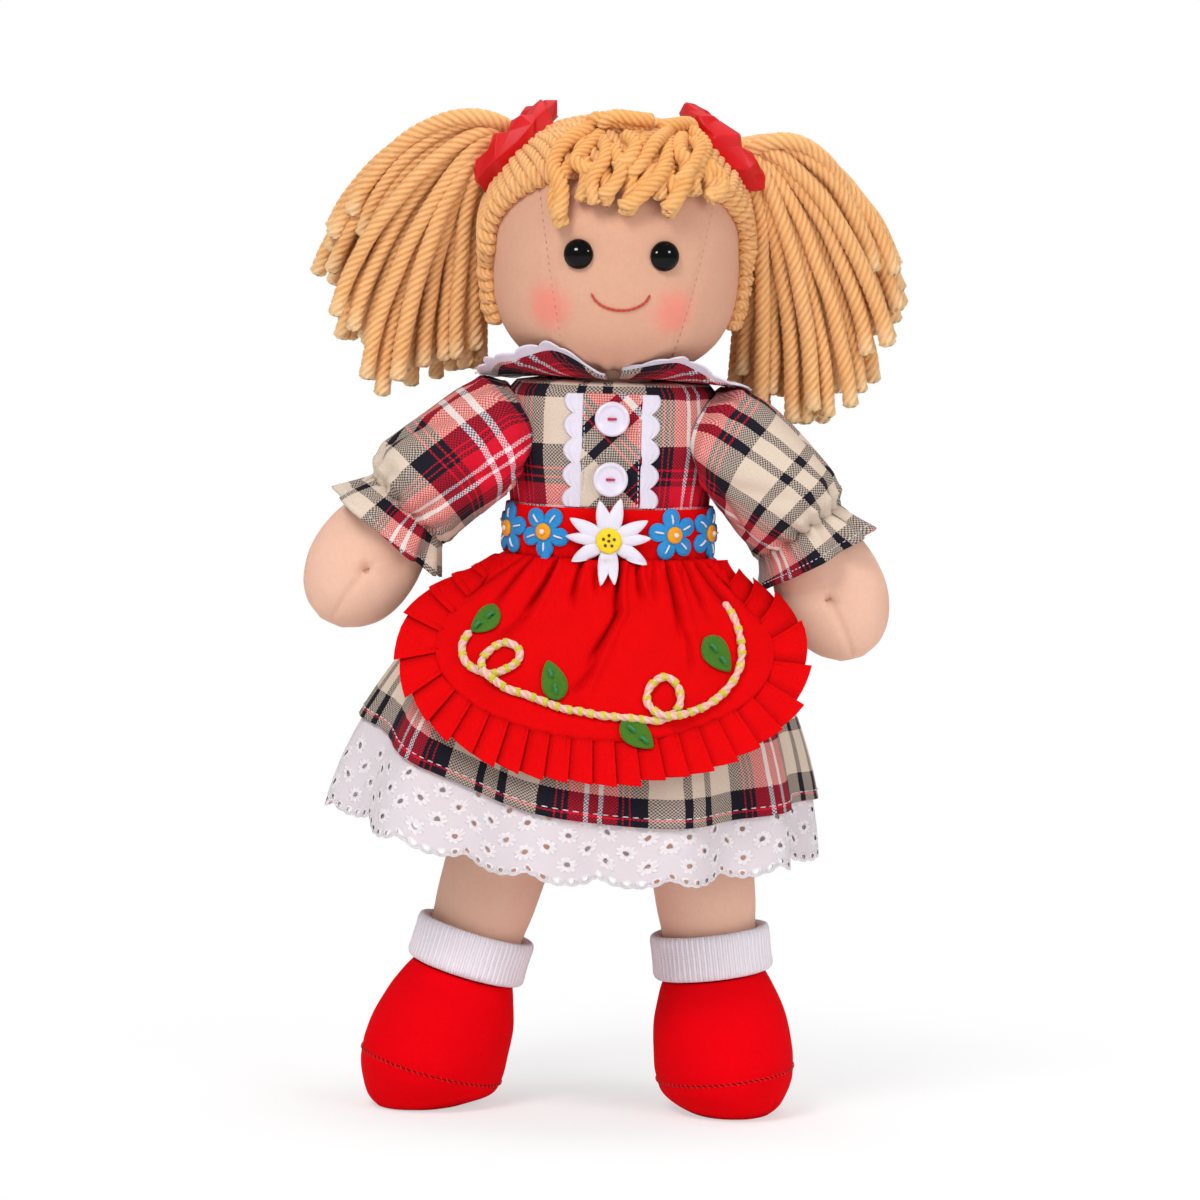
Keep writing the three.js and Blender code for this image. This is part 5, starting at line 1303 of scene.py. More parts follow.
# ---- Dress, petticoat and their hems ----
def bell_point(turn, z, lift, gathers):
    """A place on the skirts, with their wide folds and the fine gathers near the waist."""
    a, b, x, down = bell_at(z)
    phase = 0.57 * math.sin(turn * 2 + 0.57)
    fold = SKIRT_FOLD_DEPTH * down * math.cos(SKIRT_FOLDS * turn + phase)
    fold += 1.3 * down * wander(math.cos(turn) * 2.2, math.sin(turn) * 2.2, z * 0.02)
    fine = gathers * (1 - down) ** 1.6 * math.cos(54 * turn + 2.4 * math.sin(5 * turn))
    out = lift + fold + fine
    return Vector((x + (a + out) * math.cos(turn), (b + out) * math.sin(turn), z))


def skirt_piece(name, hem, finish, lift, ply, gathers, hem_at=0.0, scallop=None, columns=440):
    """A gathered bell of cloth from the waist to its hem; the pattern runs up from the hem."""
    lengths, strips, rows = [], [], 54
    for c, turn in enumerate(turns(columns)):
        drop = scallop(c / columns * CLOTH_ROUND) if scallop else 0.0
        bottom = hem_height(hem, turn) + drop
        lengths.append((SKIRT_TOP - bottom) * 1.12 / 10)
        heights = [mix(SKIRT_TOP, bottom, (r / rows) ** 1.12) for r in range(rows + 1)]
        strips.append([bell_point(turn, z, lift + ply / 2, gathers) for z in heights])
    table = [[strips[c][r] for c in range(columns)] for r in range(rows + 1)]

    def cloth(r, c):
        return (c / columns * CLOTH_ROUND + CLOTH_START, (1 - (r / rows) ** 1.12) * lengths[int(c) % columns] + hem_at)

    made = sheet_of(name, table, cloth, finish, looped=True)
    outwards(made)
    thicken(made, ply, 0.0)
    return made


def scalloped(u):
    """The petticoat's edge: wide scallops, each made of small ones round its holes."""
    wide = abs(math.sin(u / SCALLOP_PITCH * math.pi)) ** 0.7
    small = abs(math.sin((u + CLOTH_START) / EYELET_PITCH * math.pi)) ** 0.8
    return 1.8 - 3.4 * wide - 0.7 * small


def make_skirts():
    petticoat = skirt_piece(
        "petticoat_eyelet", PETTICOAT_HEM, EYELET, lift=0.0, ply=0.7, gathers=0.3, scallop=scalloped, columns=576
    )
    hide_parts("petticoat")
    dress = skirt_piece("dress_skirt_cloth", SKIRT_HEM, CHECK_STRAIGHT, lift=1.6, ply=1.0, gathers=0.6, hem_at=2.64)
    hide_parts("dress_skirt")
    paths = []
    count = 150
    for k in range(count):
        ends = []
        for share in (0.0, 0.58):
            turn = (k + share) / count * math.tau
            ends.append(bell_point(turn, hem_height(SKIRT_HEM, turn) + 3.2, 2.75, 0.0))
        out = Vector((math.cos(turn), math.sin(turn), 0.2)).normalized()
        paths.append(stitch(ends[0], ends[1], 0.22, 0.5, out))
    hem = sewn("dress_hem_stitches", paths, THREAD_WHITE, 0.5)
    for piece in (petticoat, dress, hem):
        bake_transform(piece)


# ---- Waistband and apron ----
def make_waistband():
    rows, steps, levels = [], 220, 18
    for j in range(levels + 1):
        t = j / levels
        z = BODICE_BOTTOM + t * BAND_HEIGHT
        a, b, _ = front_at(z)
        row = []
        for turn in turns(steps):
            edge = 0.35 * math.sin(t * math.pi) + 0.22 * wander(math.cos(turn) * 3, math.sin(turn) * 3, z * 0.1)
            edge += 0.25 * (1 - t) ** 3 * math.cos(60 * turn)
            row.append(oval(a + edge, b + edge, turn, z))
        rows.append(row)
    made = sheet_of("waistband_cotton", rows, lambda r, c: (c / steps * 22, r / levels * 1.7), RED_COTTON, looped=True)
    outwards(made)
    thicken(made, 1.5)
    finished(made, "BEVEL", width=0.0004, segments=2, limit_method="ANGLE")
    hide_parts("waistband")
    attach(made, "torso")


def apron_half_width(t):
    return mix(APRON_TOP_WIDTH, APRON_WIDTH, ease(clamp(t / APRON_UPPER))) / 2


def apron_edge(share):
    """The apron's outline from one end of the band to the other: across, and down from its top."""
    side = -1 if share < 0.5 else 1
    run = min(share, 1 - share) * 2
    if run < APRON_SIDE:
        t = run / APRON_SIDE * APRON_UPPER
        return side * apron_half_width(t), t * APRON_DROP
    turn = (run - APRON_SIDE) / (1 - APRON_SIDE) * math.pi / 2
    return side * APRON_WIDTH / 2 * math.cos(turn), mix(APRON_UPPER, 1, math.sin(turn)) * APRON_DROP


# Creases that run down from the waistband: where each starts and ends (across, height), how deep, how wide
APRON_CREASES = [
    (4.5, 187, 2.2, 168, 3.6, 0.9), (2.0, 171, -6, 153.5, 3.4, 1.0), (-5.2, 155, -12.5, 144, 2.0, 1.2),
    (-18.5, 188, -31, 167.5, 3.8, 1.0), (-29, 170, -38, 160, 1.6, 1.4), (-27, 188, -43, 170, 2.6, 1.0),
    (-35, 187, -53, 173, 2.0, 1.1), (-8.6, 188, -13, 173, 2.8, 0.9), (-2.5, 188, -4.6, 177, 1.6, 0.7),
    (10.5, 188, 11.6, 175, 2.6, 0.8), (15, 188, 18, 176, 1.6, 0.8), (20, 188, 27, 162, 3.4, 1.0),
    (26.5, 165, 31, 152, 1.6, 1.3), (27, 188, 37, 170, 2.4, 1.0), (32, 188, 49, 167, 3.0, 1.1),
    (38, 187, 57, 169, 2.2, 1.1),
]


def apron_folds_and_shade(x, drop):
    """How far each crease draws the gathered cloth in, with a soft roll beside it, and how much painted shade lies in
    its bottom.
    """
    z = APRON_TOP - drop
    off = dark = 0.0
    for x0, z0, x1, z1, depth, wide in APRON_CREASES:
        run = math.hypot(x1 - x0, z1 - z0)
        along = ((x - x0) * (x1 - x0) + (z - z0) * (z1 - z0)) / run / run
        away = ((x - x0) * (z1 - z0) - (z - z0) * (x1 - x0)) / run
        away += 0.7 * math.sin(along * 3 + x0)
        fade = ease(clamp((1.1 - along) / 0.6)) * ease(clamp((along + 0.35) / 0.3))
        width = wide * mix(0.7, 1.5, clamp(along))
        line = fade * math.exp(-abs(away / width) ** 1.5)
        off -= depth * line
        off += 0.5 * depth * fade * bump((away + 2.5 * width) / (1.7 * width))
        # Painted shade: the crease's bottom is marked dark for the cloth's colour.
        dark = max(dark, line ** 2 * depth / 4.2)
    return off, dark


def apron_gather(x, drop):
    t = drop / APRON_DROP
    fine = 0.4 * (1 - clamp(t / 0.14)) * math.cos(x * 1.7 + 2 * math.sin(0.3 * x))
    wide = 0.8 * wander(x * 0.045, drop * 0.05, 5.0) * clamp(t * 2)
    return 1.1 * bump(drop / 5) + apron_folds_and_shade(x, drop)[0] + fine + wide - 0.3


def paint_fold_shade(piece, shares):
    """Stores at each point of the cloth how much painted shade its fold or lap gets, in the crease attribute that the
    woven finish darkens.
    """
    piece.data.attributes.new("crease", "FLOAT", "POINT").data.foreach_set("value", shares)


def make_apron():
    """The gathered panel, with creases under the waistband, and painted shade in them and along the hem that goes under
    the ruffle.
    """
    columns, rows = 300, 84
    table, shares = [], []
    for j in range(rows + 1):
        t = j / rows
        row = []
        for i in range(columns + 1):
            ex, ed = apron_edge(mix(0.15, 0.85, i / columns))
            x = mix(mix(-1, 1, i / columns) * APRON_TOP_WIDTH / 2, ex, ease(t))
            drop = mix(-0.8, ed, t)
            seam = clamp((t - 0.965) / 0.035)
            row.append(on_front(x, APRON_TOP - drop, apron_gather(x, drop) - 0.7 * seam))
            # Painted shade: dark in the creases and in the hem's last rows under the ruffle.
            shares.append(clamp(apron_folds_and_shade(x, drop)[1] * 0.85 + 0.6 * seam ** 2))
        table.append(row)
    made = sheet_of("apron_cotton", table, lambda r, c: (c / columns * 13, r / rows * 7), RED_COTTON)
    paint_fold_shade(made, shares)
    face_towards(made, FRONT)
    thicken(made, 0.9)
    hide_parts("apron_panel")
    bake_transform(made)


def make_ruffle():
    """Knife pleats round the apron's edge, each lapped over the next and sewn flat at its root, with painted shade
    where each pleat goes under the one before and along its root.
    """
    fine = 400
    marks = [apron_edge(i / fine) for i in range(fine + 1)]
    far = [0.0]
    for (x0, d0), (x1, d1) in zip(marks, marks[1:]):
        far.append(far[-1] + math.hypot(x1 - x0, d1 - d0))
    pleats = round(far[-1] / PLEAT_PITCH)
    chance = random.Random(41)
    columns = []
    for p in range(pleats):
        lap = 0.26 + chance.uniform(-0.05, 0.05)
        high = 2.9 + chance.uniform(-0.4, 0.5)
        for k in range(7):
            s = k / 6
            columns.append((p - lap * (1 - s) + s, mix(0.1, high, s ** 0.8), s, p))
        for k in (1, 2):
            s = k / 3
            columns.append((p + 1 - lap * s, mix(high, 0.15, s), 1 - s, p))
    sizes = [chance.uniform(0.94, 1.06) for _ in range(pleats + 1)]
    table, shares = [], []
    across_rows = 9
    for run, stand, in_pleat, p in columns:
        place = clamp(run / pleats)
        want = place * far[-1]
        i = min(fine - 1, max(0, next((n for n, f in enumerate(far) if f >= want), fine) - 1))
        t = (want - far[i]) / (far[i + 1] - far[i])
        x, d = mix(marks[i][0], marks[i + 1][0], t), mix(marks[i][1], marks[i + 1][1], t)
        wx, wd = marks[i + 1][0] - marks[i][0], marks[i + 1][1] - marks[i][1]
        length = math.hypot(wx, wd)
        ox, od = -wd / length, wx / length
        grow = mix(0.35, 1, ease(clamp(min(place, 1 - place) * 9)))
        row = []
        for j in range(across_rows + 1):
            across = j / across_rows
            reach = -1.2 + across * (RUFFLE_WIDTH * mix(0.95, 1.05, in_pleat) * sizes[p] * grow + 1.2)
            slide = (in_pleat - 0.5) * 1.5 * across
            fx, fd = x + ox * reach + wx / length * slide, max(0.0, d + od * reach + wd / length * slide)
            lift = -0.9 + stand * mix(0.35, 1.15, across) + 1.3 * across ** 1.5
            lift += 0.4 * across * wander(run * 0.9, across)
            row.append(on_front(fx, APRON_TOP - fd, lift - 0.6))
            # Painted shade: dark where each pleat lies under the one before and along the root under the apron's edge.
            shares.append(clamp(0.85 * (1 - in_pleat * 2.2)) + 0.35 * clamp(1 - across * 8))
        table.append(row)
    made = sheet_of(
        "apron_ruffle_pleats", table, lambda r, c: (r / len(table) * 42, c / across_rows * 1.25), RED_COTTON,
        smooth=False,
    )
    paint_fold_shade(made, [clamp(v) for v in shares])
    face_towards(made, FRONT)
    thicken(made, 0.55)
    only(made)
    bpy.ops.object.shade_smooth_by_angle(angle=math.radians(38))
    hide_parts("apron_ruffle")
    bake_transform(made)


def apron_lift(x, z):
    return apron_gather(x, APRON_TOP - z) + 0.1


# The vine's path: shares of the apron's half width and of its drop
VINE = [
    (-0.778, 0.41), (-0.807, 0.45), (-0.823, 0.5), (-0.812, 0.55), (-0.787, 0.59), (-0.738, 0.617),
    (-0.658, 0.639), (-0.609, 0.63), (-0.561, 0.607), (-0.512, 0.579), (-0.482, 0.533), (-0.496, 0.488),
    (-0.553, 0.461), (-0.609, 0.475), (-0.666, 0.517), (-0.698, 0.566), (-0.68, 0.62), (-0.621, 0.667),
    (-0.553, 0.716), (-0.456, 0.741), (-0.359, 0.773), (-0.23, 0.814), (-0.137, 0.826), (-0.02, 0.846),
    (0.137, 0.856), (0.269, 0.868), (0.35, 0.856), (0.425, 0.78), (0.413, 0.68), (0.34, 0.624),
    (0.258, 0.675), (0.238, 0.76), (0.29, 0.82), (0.37, 0.838), (0.481, 0.821), (0.58, 0.784),
    (0.678, 0.712), (0.754, 0.611), (0.783, 0.496), (0.763, 0.366), (0.735, 0.279), (0.7, 0.222),
]


def make_vine():
    """A soft yarn laid down in two curls and tied down every few millimetres."""
    flat = smooth_path([(u * APRON_WIDTH / 2, 0, -v * APRON_DROP) for u, v in VINE], 0.6)
    over = [any((p - q).length < 3.0 for q in flat[: max(0, i - 18)]) for i, p in enumerate(flat)]
    path = []
    for i, p in enumerate(flat):
        window = over[max(0, i - 6) : i + 7]
        raised = ease(sum(window) / len(window)) if any(window) else 0.0
        z = APRON_TOP + p.z
        path.append(on_front(p.x, z, apron_lift(p.x, z) + 1.15 + raised * 2.2))
    for _ in range(3):
        path = [path[0]] + [(a + b * 2 + c) / 4 for a, b, c in zip(path, path[1:], path[2:])] + [path[-1]]
    ties, at, chance = [], 5, random.Random(9)
    while at < len(path) - 3:
        ties.append(at)
        at += chance.choice((6, 7, 8, 9))
    last = len(path) - 1

    def thick(share):
        near = min(abs(share * last - tie) for tie in ties)
        return 1.42 - 0.34 * bump(near / 1.4) + 0.1 * wander(share * 40, 1.0)

    made = yarn_strands("apron_vine_yarn", [(path, thick)], VINE_YARN, spacing=0.4, pitch=9, plies=3, around=14)
    stitches = []
    for i in ties:
        way = (path[i + 1] - path[i - 1]).normalized()
        out = front_out(flat[i].x, APRON_TOP + flat[i].z)
        across = way.cross(out).normalized()
        for off in (-0.42, 0.05, 0.5):
            middle = path[i] + way * off
            ring = []
            for n in range(9):
                turn = mix(-0.2, 1.2, n / 8) * math.pi
                foot = middle + across * math.cos(turn) * 1.28
                ring.append(foot + out * math.sin(turn) * 1.28 + way * 0.2 * math.cos(turn))
            stitches.append((ring, lambda s: 0.27))
    wraps = sewn("apron_vine_stitches", stitches, THREAD_YELLOW, 0.6, pitch=2, depth=0.12)
    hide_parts("apron_vine")
    for piece in (made, wraps):
        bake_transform(piece)


def felt_shape(name, outline, x, z, lift, ply, finish, seat=None, dome=0.25):
    """A felt shape laid on the front, its cut edge a little soft."""
    seat = seat or (lambda u, v: 0.0)
    layers = [
        (0.985, 0.0), (1.0, ply * 0.3), (1.0, ply * 0.7), (0.965, ply), (0.8, ply + dome * 0.5),
        (0.5, ply + dome * 0.9), (0.2, ply + dome),
    ]
    rings = []
    for share, up in layers:
        places = [(x + u * share, z + v * share) for u, v in outline]
        rings.append([on_front(px, pz, lift + up + seat(px, pz)) for px, pz in places])
    return body_of(name, rings, lambda r, c: (c * 0.1, r * 0.1), finish)


def leaf_outline(length, width, lean):
    """A pointed oval whose tip lies in the direction of its lean."""
    out = []
    for turn in turns(36):
        along = math.cos(turn) * length / 2
        across = math.sin(turn) * width / 2 * (1 - 0.35 * math.cos(turn)) * abs(math.sin(turn)) ** 0.25
        out.append((along * math.sin(lean) + across * math.cos(lean), along * math.cos(lean) - across * math.sin(lean)))
    return out


# Each leaf: its place as shares like the vine's, its lean and its size
LEAVES = [(-0.695, 0.345, 4.05, 1.05), (-0.29, 0.66, -0.32, 1.15), (0.64, 0.5, 2.45, 1.22), (0.19, 0.945, 2.25, 1.18)]


def make_leaves():
    paths = []
    for i, (u, v, lean, size) in enumerate(LEAVES):
        x, z = u * APRON_WIDTH / 2, APRON_TOP - v * APRON_DROP
        made = felt_shape(
            "leaf_felt_%d" % (i + 1), leaf_outline(11.5 * size, 7.2 * size, lean), x, z, 0.15, 1.1, FELT_GREEN,
            apron_lift,
        )
        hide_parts("apron_leaf_%d" % (i + 1))
        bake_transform(made)
        for along in (-2.8, 2.6):
            ends = []
            for far in (along - 1.4, along + 1.4):
                px, pz = x + far * math.sin(lean), z + far * math.cos(lean)
                ends.append(on_front(px, pz, apron_lift(px, pz) + 1.9))
            paths.append(stitch(ends[0], ends[1], 0.6, 1.3, front_out(x, z)))
    made = sewn("leaf_stitches", paths, THREAD_GREEN, plies=3, pitch=3, depth=0.2, around=9)
    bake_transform(made)


# How far round the band from the front each flower sits, in millimetres
FLOWERS = {"far_right": -38.7, "right": -22.1, "left": 22.1, "far_left": 38.7}


def make_flowers():
    """Four felt flowers on the band, sewn down along their petals."""
    middle = BODICE_BOTTOM + BAND_HEIGHT / 2
    stitches = []
    for i, (word, arc) in enumerate(FLOWERS.items()):
        spin = 0.1 + i * 0.5
        outline = []
        for turn in turns(80):
            swell = abs(math.cos(turn * 2.5)) ** 0.62
            r = 9.0 * mix(0.46, 1, swell)
            outline.append((r * math.sin(turn + spin), r * math.cos(turn + spin)))
        petals = felt_shape("flower_felt_" + word, outline, arc, middle, 0.3, 1.0, FELT_BLUE, dome=0.3)
        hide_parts("flower_" + word)
        for turn in (start + spin for start in turns(5)):
            ends = [on_front(arc + r * math.sin(turn), middle + r * math.cos(turn), 1.5) for r in (3.6, 7.0)]
            stitches.append(stitch(ends[0], ends[1], 0.3, 0.75, front_out(arc, middle)))
        place = front_place(arc, middle, 1.55)
        disc = turned(
            "flower_disc_" + word, [(2.7, 0), (2.85, 0.35), (2.75, 0.75), (2.2, 1.0), (1.0, 1.05)], 36, FELT_ORANGE,
            place,
        )
        knot = turned(
            "flower_knot_" + word, [(0.5, 0.9), (0.95, 1.25), (0.9, 1.7), (0.45, 1.95)], 20, KNOT_PEARL, place
        )
        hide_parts("flower_centre_" + word)
        for piece in (petals, disc, knot):
            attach(piece, "torso")
    made = sewn("flower_stitches", stitches, THREAD_WHITE, pitch=2.4, depth=0.2, around=7)
    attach(made, "torso")


# The directions of the daisy's petals on each side, in degrees from straight up
PETAL_TURNS = [14, 61, 86, 121, 171]


def make_daisy():
    """Padded satin petals round a felt disc with French knots."""
    middle = BODICE_BOTTOM + BAND_HEIGHT / 2 - 2
    petals = []
    for side in (-1, 1):
        for k, degrees in enumerate(PETAL_TURNS):
            turn = math.radians(degrees) * side
            length = 14.2 + 0.5 * math.sin(k * 2.1 + side)
            width = 2.35 if k not in (2, 4) else 2.0
            rings = []
            steps = 22
            for s in range(steps + 1):
                t = s / steps
                r = mix(2.6, length, t)
                half = width * math.sin(math.pi * clamp(0.16 + 0.84 * t) ** 0.85) ** 0.75 + 0.12
                high = 0.85 * math.sin(math.pi * clamp(0.1 + 0.88 * t)) ** 0.6 + 0.15
                ring = []
                for a in turns(16):
                    ridge = 0.09 * math.cos(t * 60 + 4 * math.cos(a))
                    u = r * math.sin(turn) + half * math.cos(a) * math.cos(turn)
                    v = r * math.cos(turn) - half * math.cos(a) * math.sin(turn)
                    ring.append(on_front(u, middle + v, 1.9 + high + (high + ridge) * math.sin(a)))
                rings.append(ring)
            petals.append(body_of("daisy_petal", rings, lambda r, c: (c * 0.05, r * 0.1), SATIN_WHITE))
    made = joined("daisy_petals", petals)
    place = front_place(0, middle, 3.3)
    disc = turned("daisy_disc", [(4.0, -1.0), (4.3, 0.2), (4.2, 0.8), (3.5, 1.15), (1.6, 1.3)], 48, FELT_YELLOW, place)
    knots = []
    spots = [(0, 0)] + [(1.9 * math.cos(turn + 0.3), 1.9 * math.sin(turn + 0.3)) for turn in turns(5)]
    for x, y in spots:
        here = lambda p, x=x, y=y: place(p + Vector((x, y, 0)))
        knots.append(turned("daisy_knot", [(0.25, 1.1), (0.55, 1.3), (0.5, 1.6), (0.2, 1.75)], 14, KNOT_BROWN, here))
    knots = joined("daisy_knots", knots)
    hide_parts("daisy")
    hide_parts("daisy_centre")
    for piece in (made, disc, knots):
        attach(piece, "torso")


# ---- Bodice, placket, buttons ----
def make_bodice():
    """The bodice's shell runs up inside the collars; its neck edge is turned in."""
    rows, steps, levels = [], 180, 60
    for j in range(levels + 1):
        z = mix(BODICE_BOTTOM, BODICE_TOP - 0.2, j / levels)
        a, b = bodice_at(z)
        over_band = z - BODICE_BOTTOM - BAND_HEIGHT
        row = []
        for turn in turns(steps):
            soft = 0.5 * wander(math.cos(turn) * 2.5, math.sin(turn) * 2.5, z * 0.06)
            gather = 0.35 * clamp(1 - over_band / 10) * math.cos(46 * turn + 2 * math.sin(3 * turn))
            out = 0.1 + 0.5 * soft + (gather if over_band > 0 else 0)
            row.append(oval(a + out, b + out, turn, z))
        rows.append(row)

    def cloth(r, c):
        return (c / steps - 0.75) * 19.4 - 1.92, mix(BODICE_BOTTOM, BODICE_TOP, r / levels) / 10 - 19.07

    made = sheet_of("bodice_cloth", rows, cloth, CHECK_STRAIGHT, looped=True)
    outwards(made)
    thicken(made, 1.0)
    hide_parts("bodice")
    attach(made, "torso")


PLACKET_LOW, PLACKET_HIGH = 206.9, 245.3


def make_placket():
    half, columns, levels = 10.5, 30, 40

    def placket_place(up, across):
        arc, z = mix(-half, half, across), mix(PLACKET_LOW, PLACKET_HIGH, up)
        turned_in = 0.35 * clamp((abs(arc) / half - 0.9) * 10)
        return on_bodice(arc, z, 1.0 - turned_in + 0.18 * wander(arc * 0.2, z * 0.15))

    rows = grid(levels, columns, placket_place)
    made = sheet_of("placket_cloth", rows, lambda r, c: (c / columns * 2.1, r / levels * 3.84), CHECK_BIAS)
    face_towards(made, FRONT)
    thicken(made, 0.9)
    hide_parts("placket")
    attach(made, "torso")
    paths = []
    for arc in (-9.1, 9.1):
        for k in range(21):
            z = mix(PLACKET_LOW + 0.6, PLACKET_HIGH - 1.6, k / 20)
            a, b = on_bodice(arc, z, 1.05), on_bodice(arc, z + 1.15, 1.05)
            paths.append(stitch(a, b, 0.2, 0.36, (a - Vector((0, 0, z))).normalized()))
    made = sewn("placket_stitches", paths, THREAD_WHITE)
    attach(made, "torso")
    for side, word in ((-1, "right"), (1, "left")):
        levels, columns = 160, 14

        def braid_place(up, across, side=side):
            z = mix(PLACKET_LOW, PLACKET_HIGH - 0.2, up)
            edge = 13.2 + 3.2 * abs(math.sin((z - PLACKET_LOW) / 8.3 * math.pi + 0.6)) ** 0.75
            ridge = 0.3 * math.sin(across * math.pi) + 0.12 * math.cos(across * 7 * math.pi)
            return on_bodice(side * mix(9.9, edge, across), z, 0.75 + ridge)

        rows = grid(levels, columns, braid_place)
        made = sheet_of("placket_ric_rac_" + word, rows, lambda r, c: (r / levels * 3.8, c / columns * 0.5), RIC_RAC)
        face_towards(made, FRONT)
        thicken(made, 0.5)
        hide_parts("placket_braid_" + word)
        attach(made, "torso")


def make_button(word, z):
    """A round button with a raised rim and a dished middle, sewn on with pink thread; its four holes are not cut."""
    at = on_bodice(0, z, 2.0)
    place = lambda p: at + Vector((p.x, -p.z, p.y))
    profile = [
        (2.6, 0.0), (4.9, 0.0), (5.6, 0.35), (5.88, 0.95), (5.85, 1.55), (5.55, 2.0), (5.1, 2.15), (4.65, 2.02),
        (4.25, 1.6), (3.7, 1.4), (2.4, 1.32), (1.0, 1.3),
    ]
    made = turned("button_" + word + "_disc", profile, 72, BUTTON, place)
    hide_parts("button_" + word)
    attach(made, "torso")
    paths = []
    for up in (0.24, -0.24):
        a, b = place(Vector((-1.55, up, 1.3))), place(Vector((1.55, up * 0.6, 1.3)))
        paths.append(stitch(a, b, 0.45, 0.62, FRONT))
    made = sewn("button_thread_" + word, paths, THREAD_PINK, 0.3, plies=3, pitch=2.2, depth=0.2, around=8)
    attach(made, "torso")


# ---- Collars ----
# Shares from the collar's front point round to its back: its width, and how high its outer edge stands
COLLAR_WIDTHS = [0.34, 0.78, 1, 1, 0.96, 0.9, 0.88]
COLLAR_STANDS = {-1: [0.1, 0.92, 0.45, -0.05, -0.2, 0.15, 0.35], 1: [0.3, 0.62, -0.08, -0.28, -0.2, 0.25, 0.4]}


COLLAR_WIDTH, COLLAR_REACH, COLLAR_STAND = 27, 17.5, 11.5


def between(values, share):
    place = clamp(share) * (len(values) - 1)
    low = min(len(values) - 2, int(place))
    t = ease(place - low)
    return mix(values[low], values[low + 1], t)


def collar_point(side, round_share, across, lift):
    """A place on one half of the collar, round from its front point and out from the neck."""
    width = COLLAR_WIDTH * between(COLLAR_WIDTHS, round_share) * across
    reach = COLLAR_REACH + width
    stand = COLLAR_STAND * between(COLLAR_STANDS[side], round_share)
    turn = mix(0.035, 0.97, round_share) * math.pi
    rise = stand * max(0, across) ** 1.6 - 0.3 * math.sin(clamp(across) * math.pi)
    wave = 0.5 * wander(round_share * 6, across * 2, side)
    z = BODICE_TOP + 0.9 + rise + lift + wave * across
    return Vector((side * reach * math.sin(turn), -reach * math.cos(turn) * 0.86, z))


def make_collar(side, word):
    columns, rows = 90, 26

    def collar_place(out, along):
        crease = 0.45 * math.exp(-((0.9 * out - 0.79) / 0.03) ** 2)
        return collar_point(side, along, 0.9 * out, 0.75 - crease)

    table = grid(rows, columns, collar_place)
    made = sheet_of("collar_cloth_" + word, table, lambda r, c: (c / columns * 9, r / rows * 2.3), CHECK_COLLAR)
    face_towards(made, UP)
    thicken(made, 1.2)
    finished(made, "BEVEL", width=0.0003, segments=2, limit_method="ANGLE")
    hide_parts("collar_" + word)
    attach(made, "torso")
    paths, count = [], 64
    for k in range(count):
        a, b = (collar_point(side, (k + s) / count, 0.8, 0.75) for s in (0.05, 0.6))
        paths.append(stitch(a, b, 0.15, 0.34, UP))
    stitches = sewn("collar_stitches_" + word, paths, THREAD_WHITE)
    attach(stitches, "torso")
    columns, rows = 230, 8

    def braid_place(out, along):
        across = mix(0.845, 1.01 + 0.085 * abs(math.sin(along * 15 * math.pi)) ** 0.75, out)
        return collar_point(side, along, across, 0.5 + 0.3 * math.sin(out * math.pi))

    table = grid(rows, columns, braid_place)
    made = sheet_of("collar_ric_rac_" + word, table, lambda r, c: (c / columns * 11, r / rows * 0.55), RIC_RAC)
    face_towards(made, UP)
    thicken(made, 0.6)
    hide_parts("collar_braid_" + word)
    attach(made, "torso")


# ---- Sleeves ----
CUFF_AT, CUFF_RADIUS = 41, 15.4
# How full the sleeve is along its length, and its folds: place round it, depth, spread
PUFFED = [(0, 0), (0.09, 0.8), (0.26, 1.0), (0.56, 1), (0.8, 0.95), (0.92, 0.62), (0.98, 0.1), (1, 0)]
SLEEVE_FOLDS = [
    (0.3, 0.5, 0.24), (1.15, 0.8, 0.2), (1.9, 0.5, 0.22), (2.7, 0.9, 0.18), (3.4, 0.6, 0.2), (4.2, 0.8, 0.22),
    (5.0, 0.5, 0.2), (5.8, 0.9, 0.2),
]


def cuff_point(side, word, along, radius, turn):
    at, angle = limb_station(side, ARM_ANGLES[word], along)
    return limb_point(side, at, angle, radius, radius, turn)


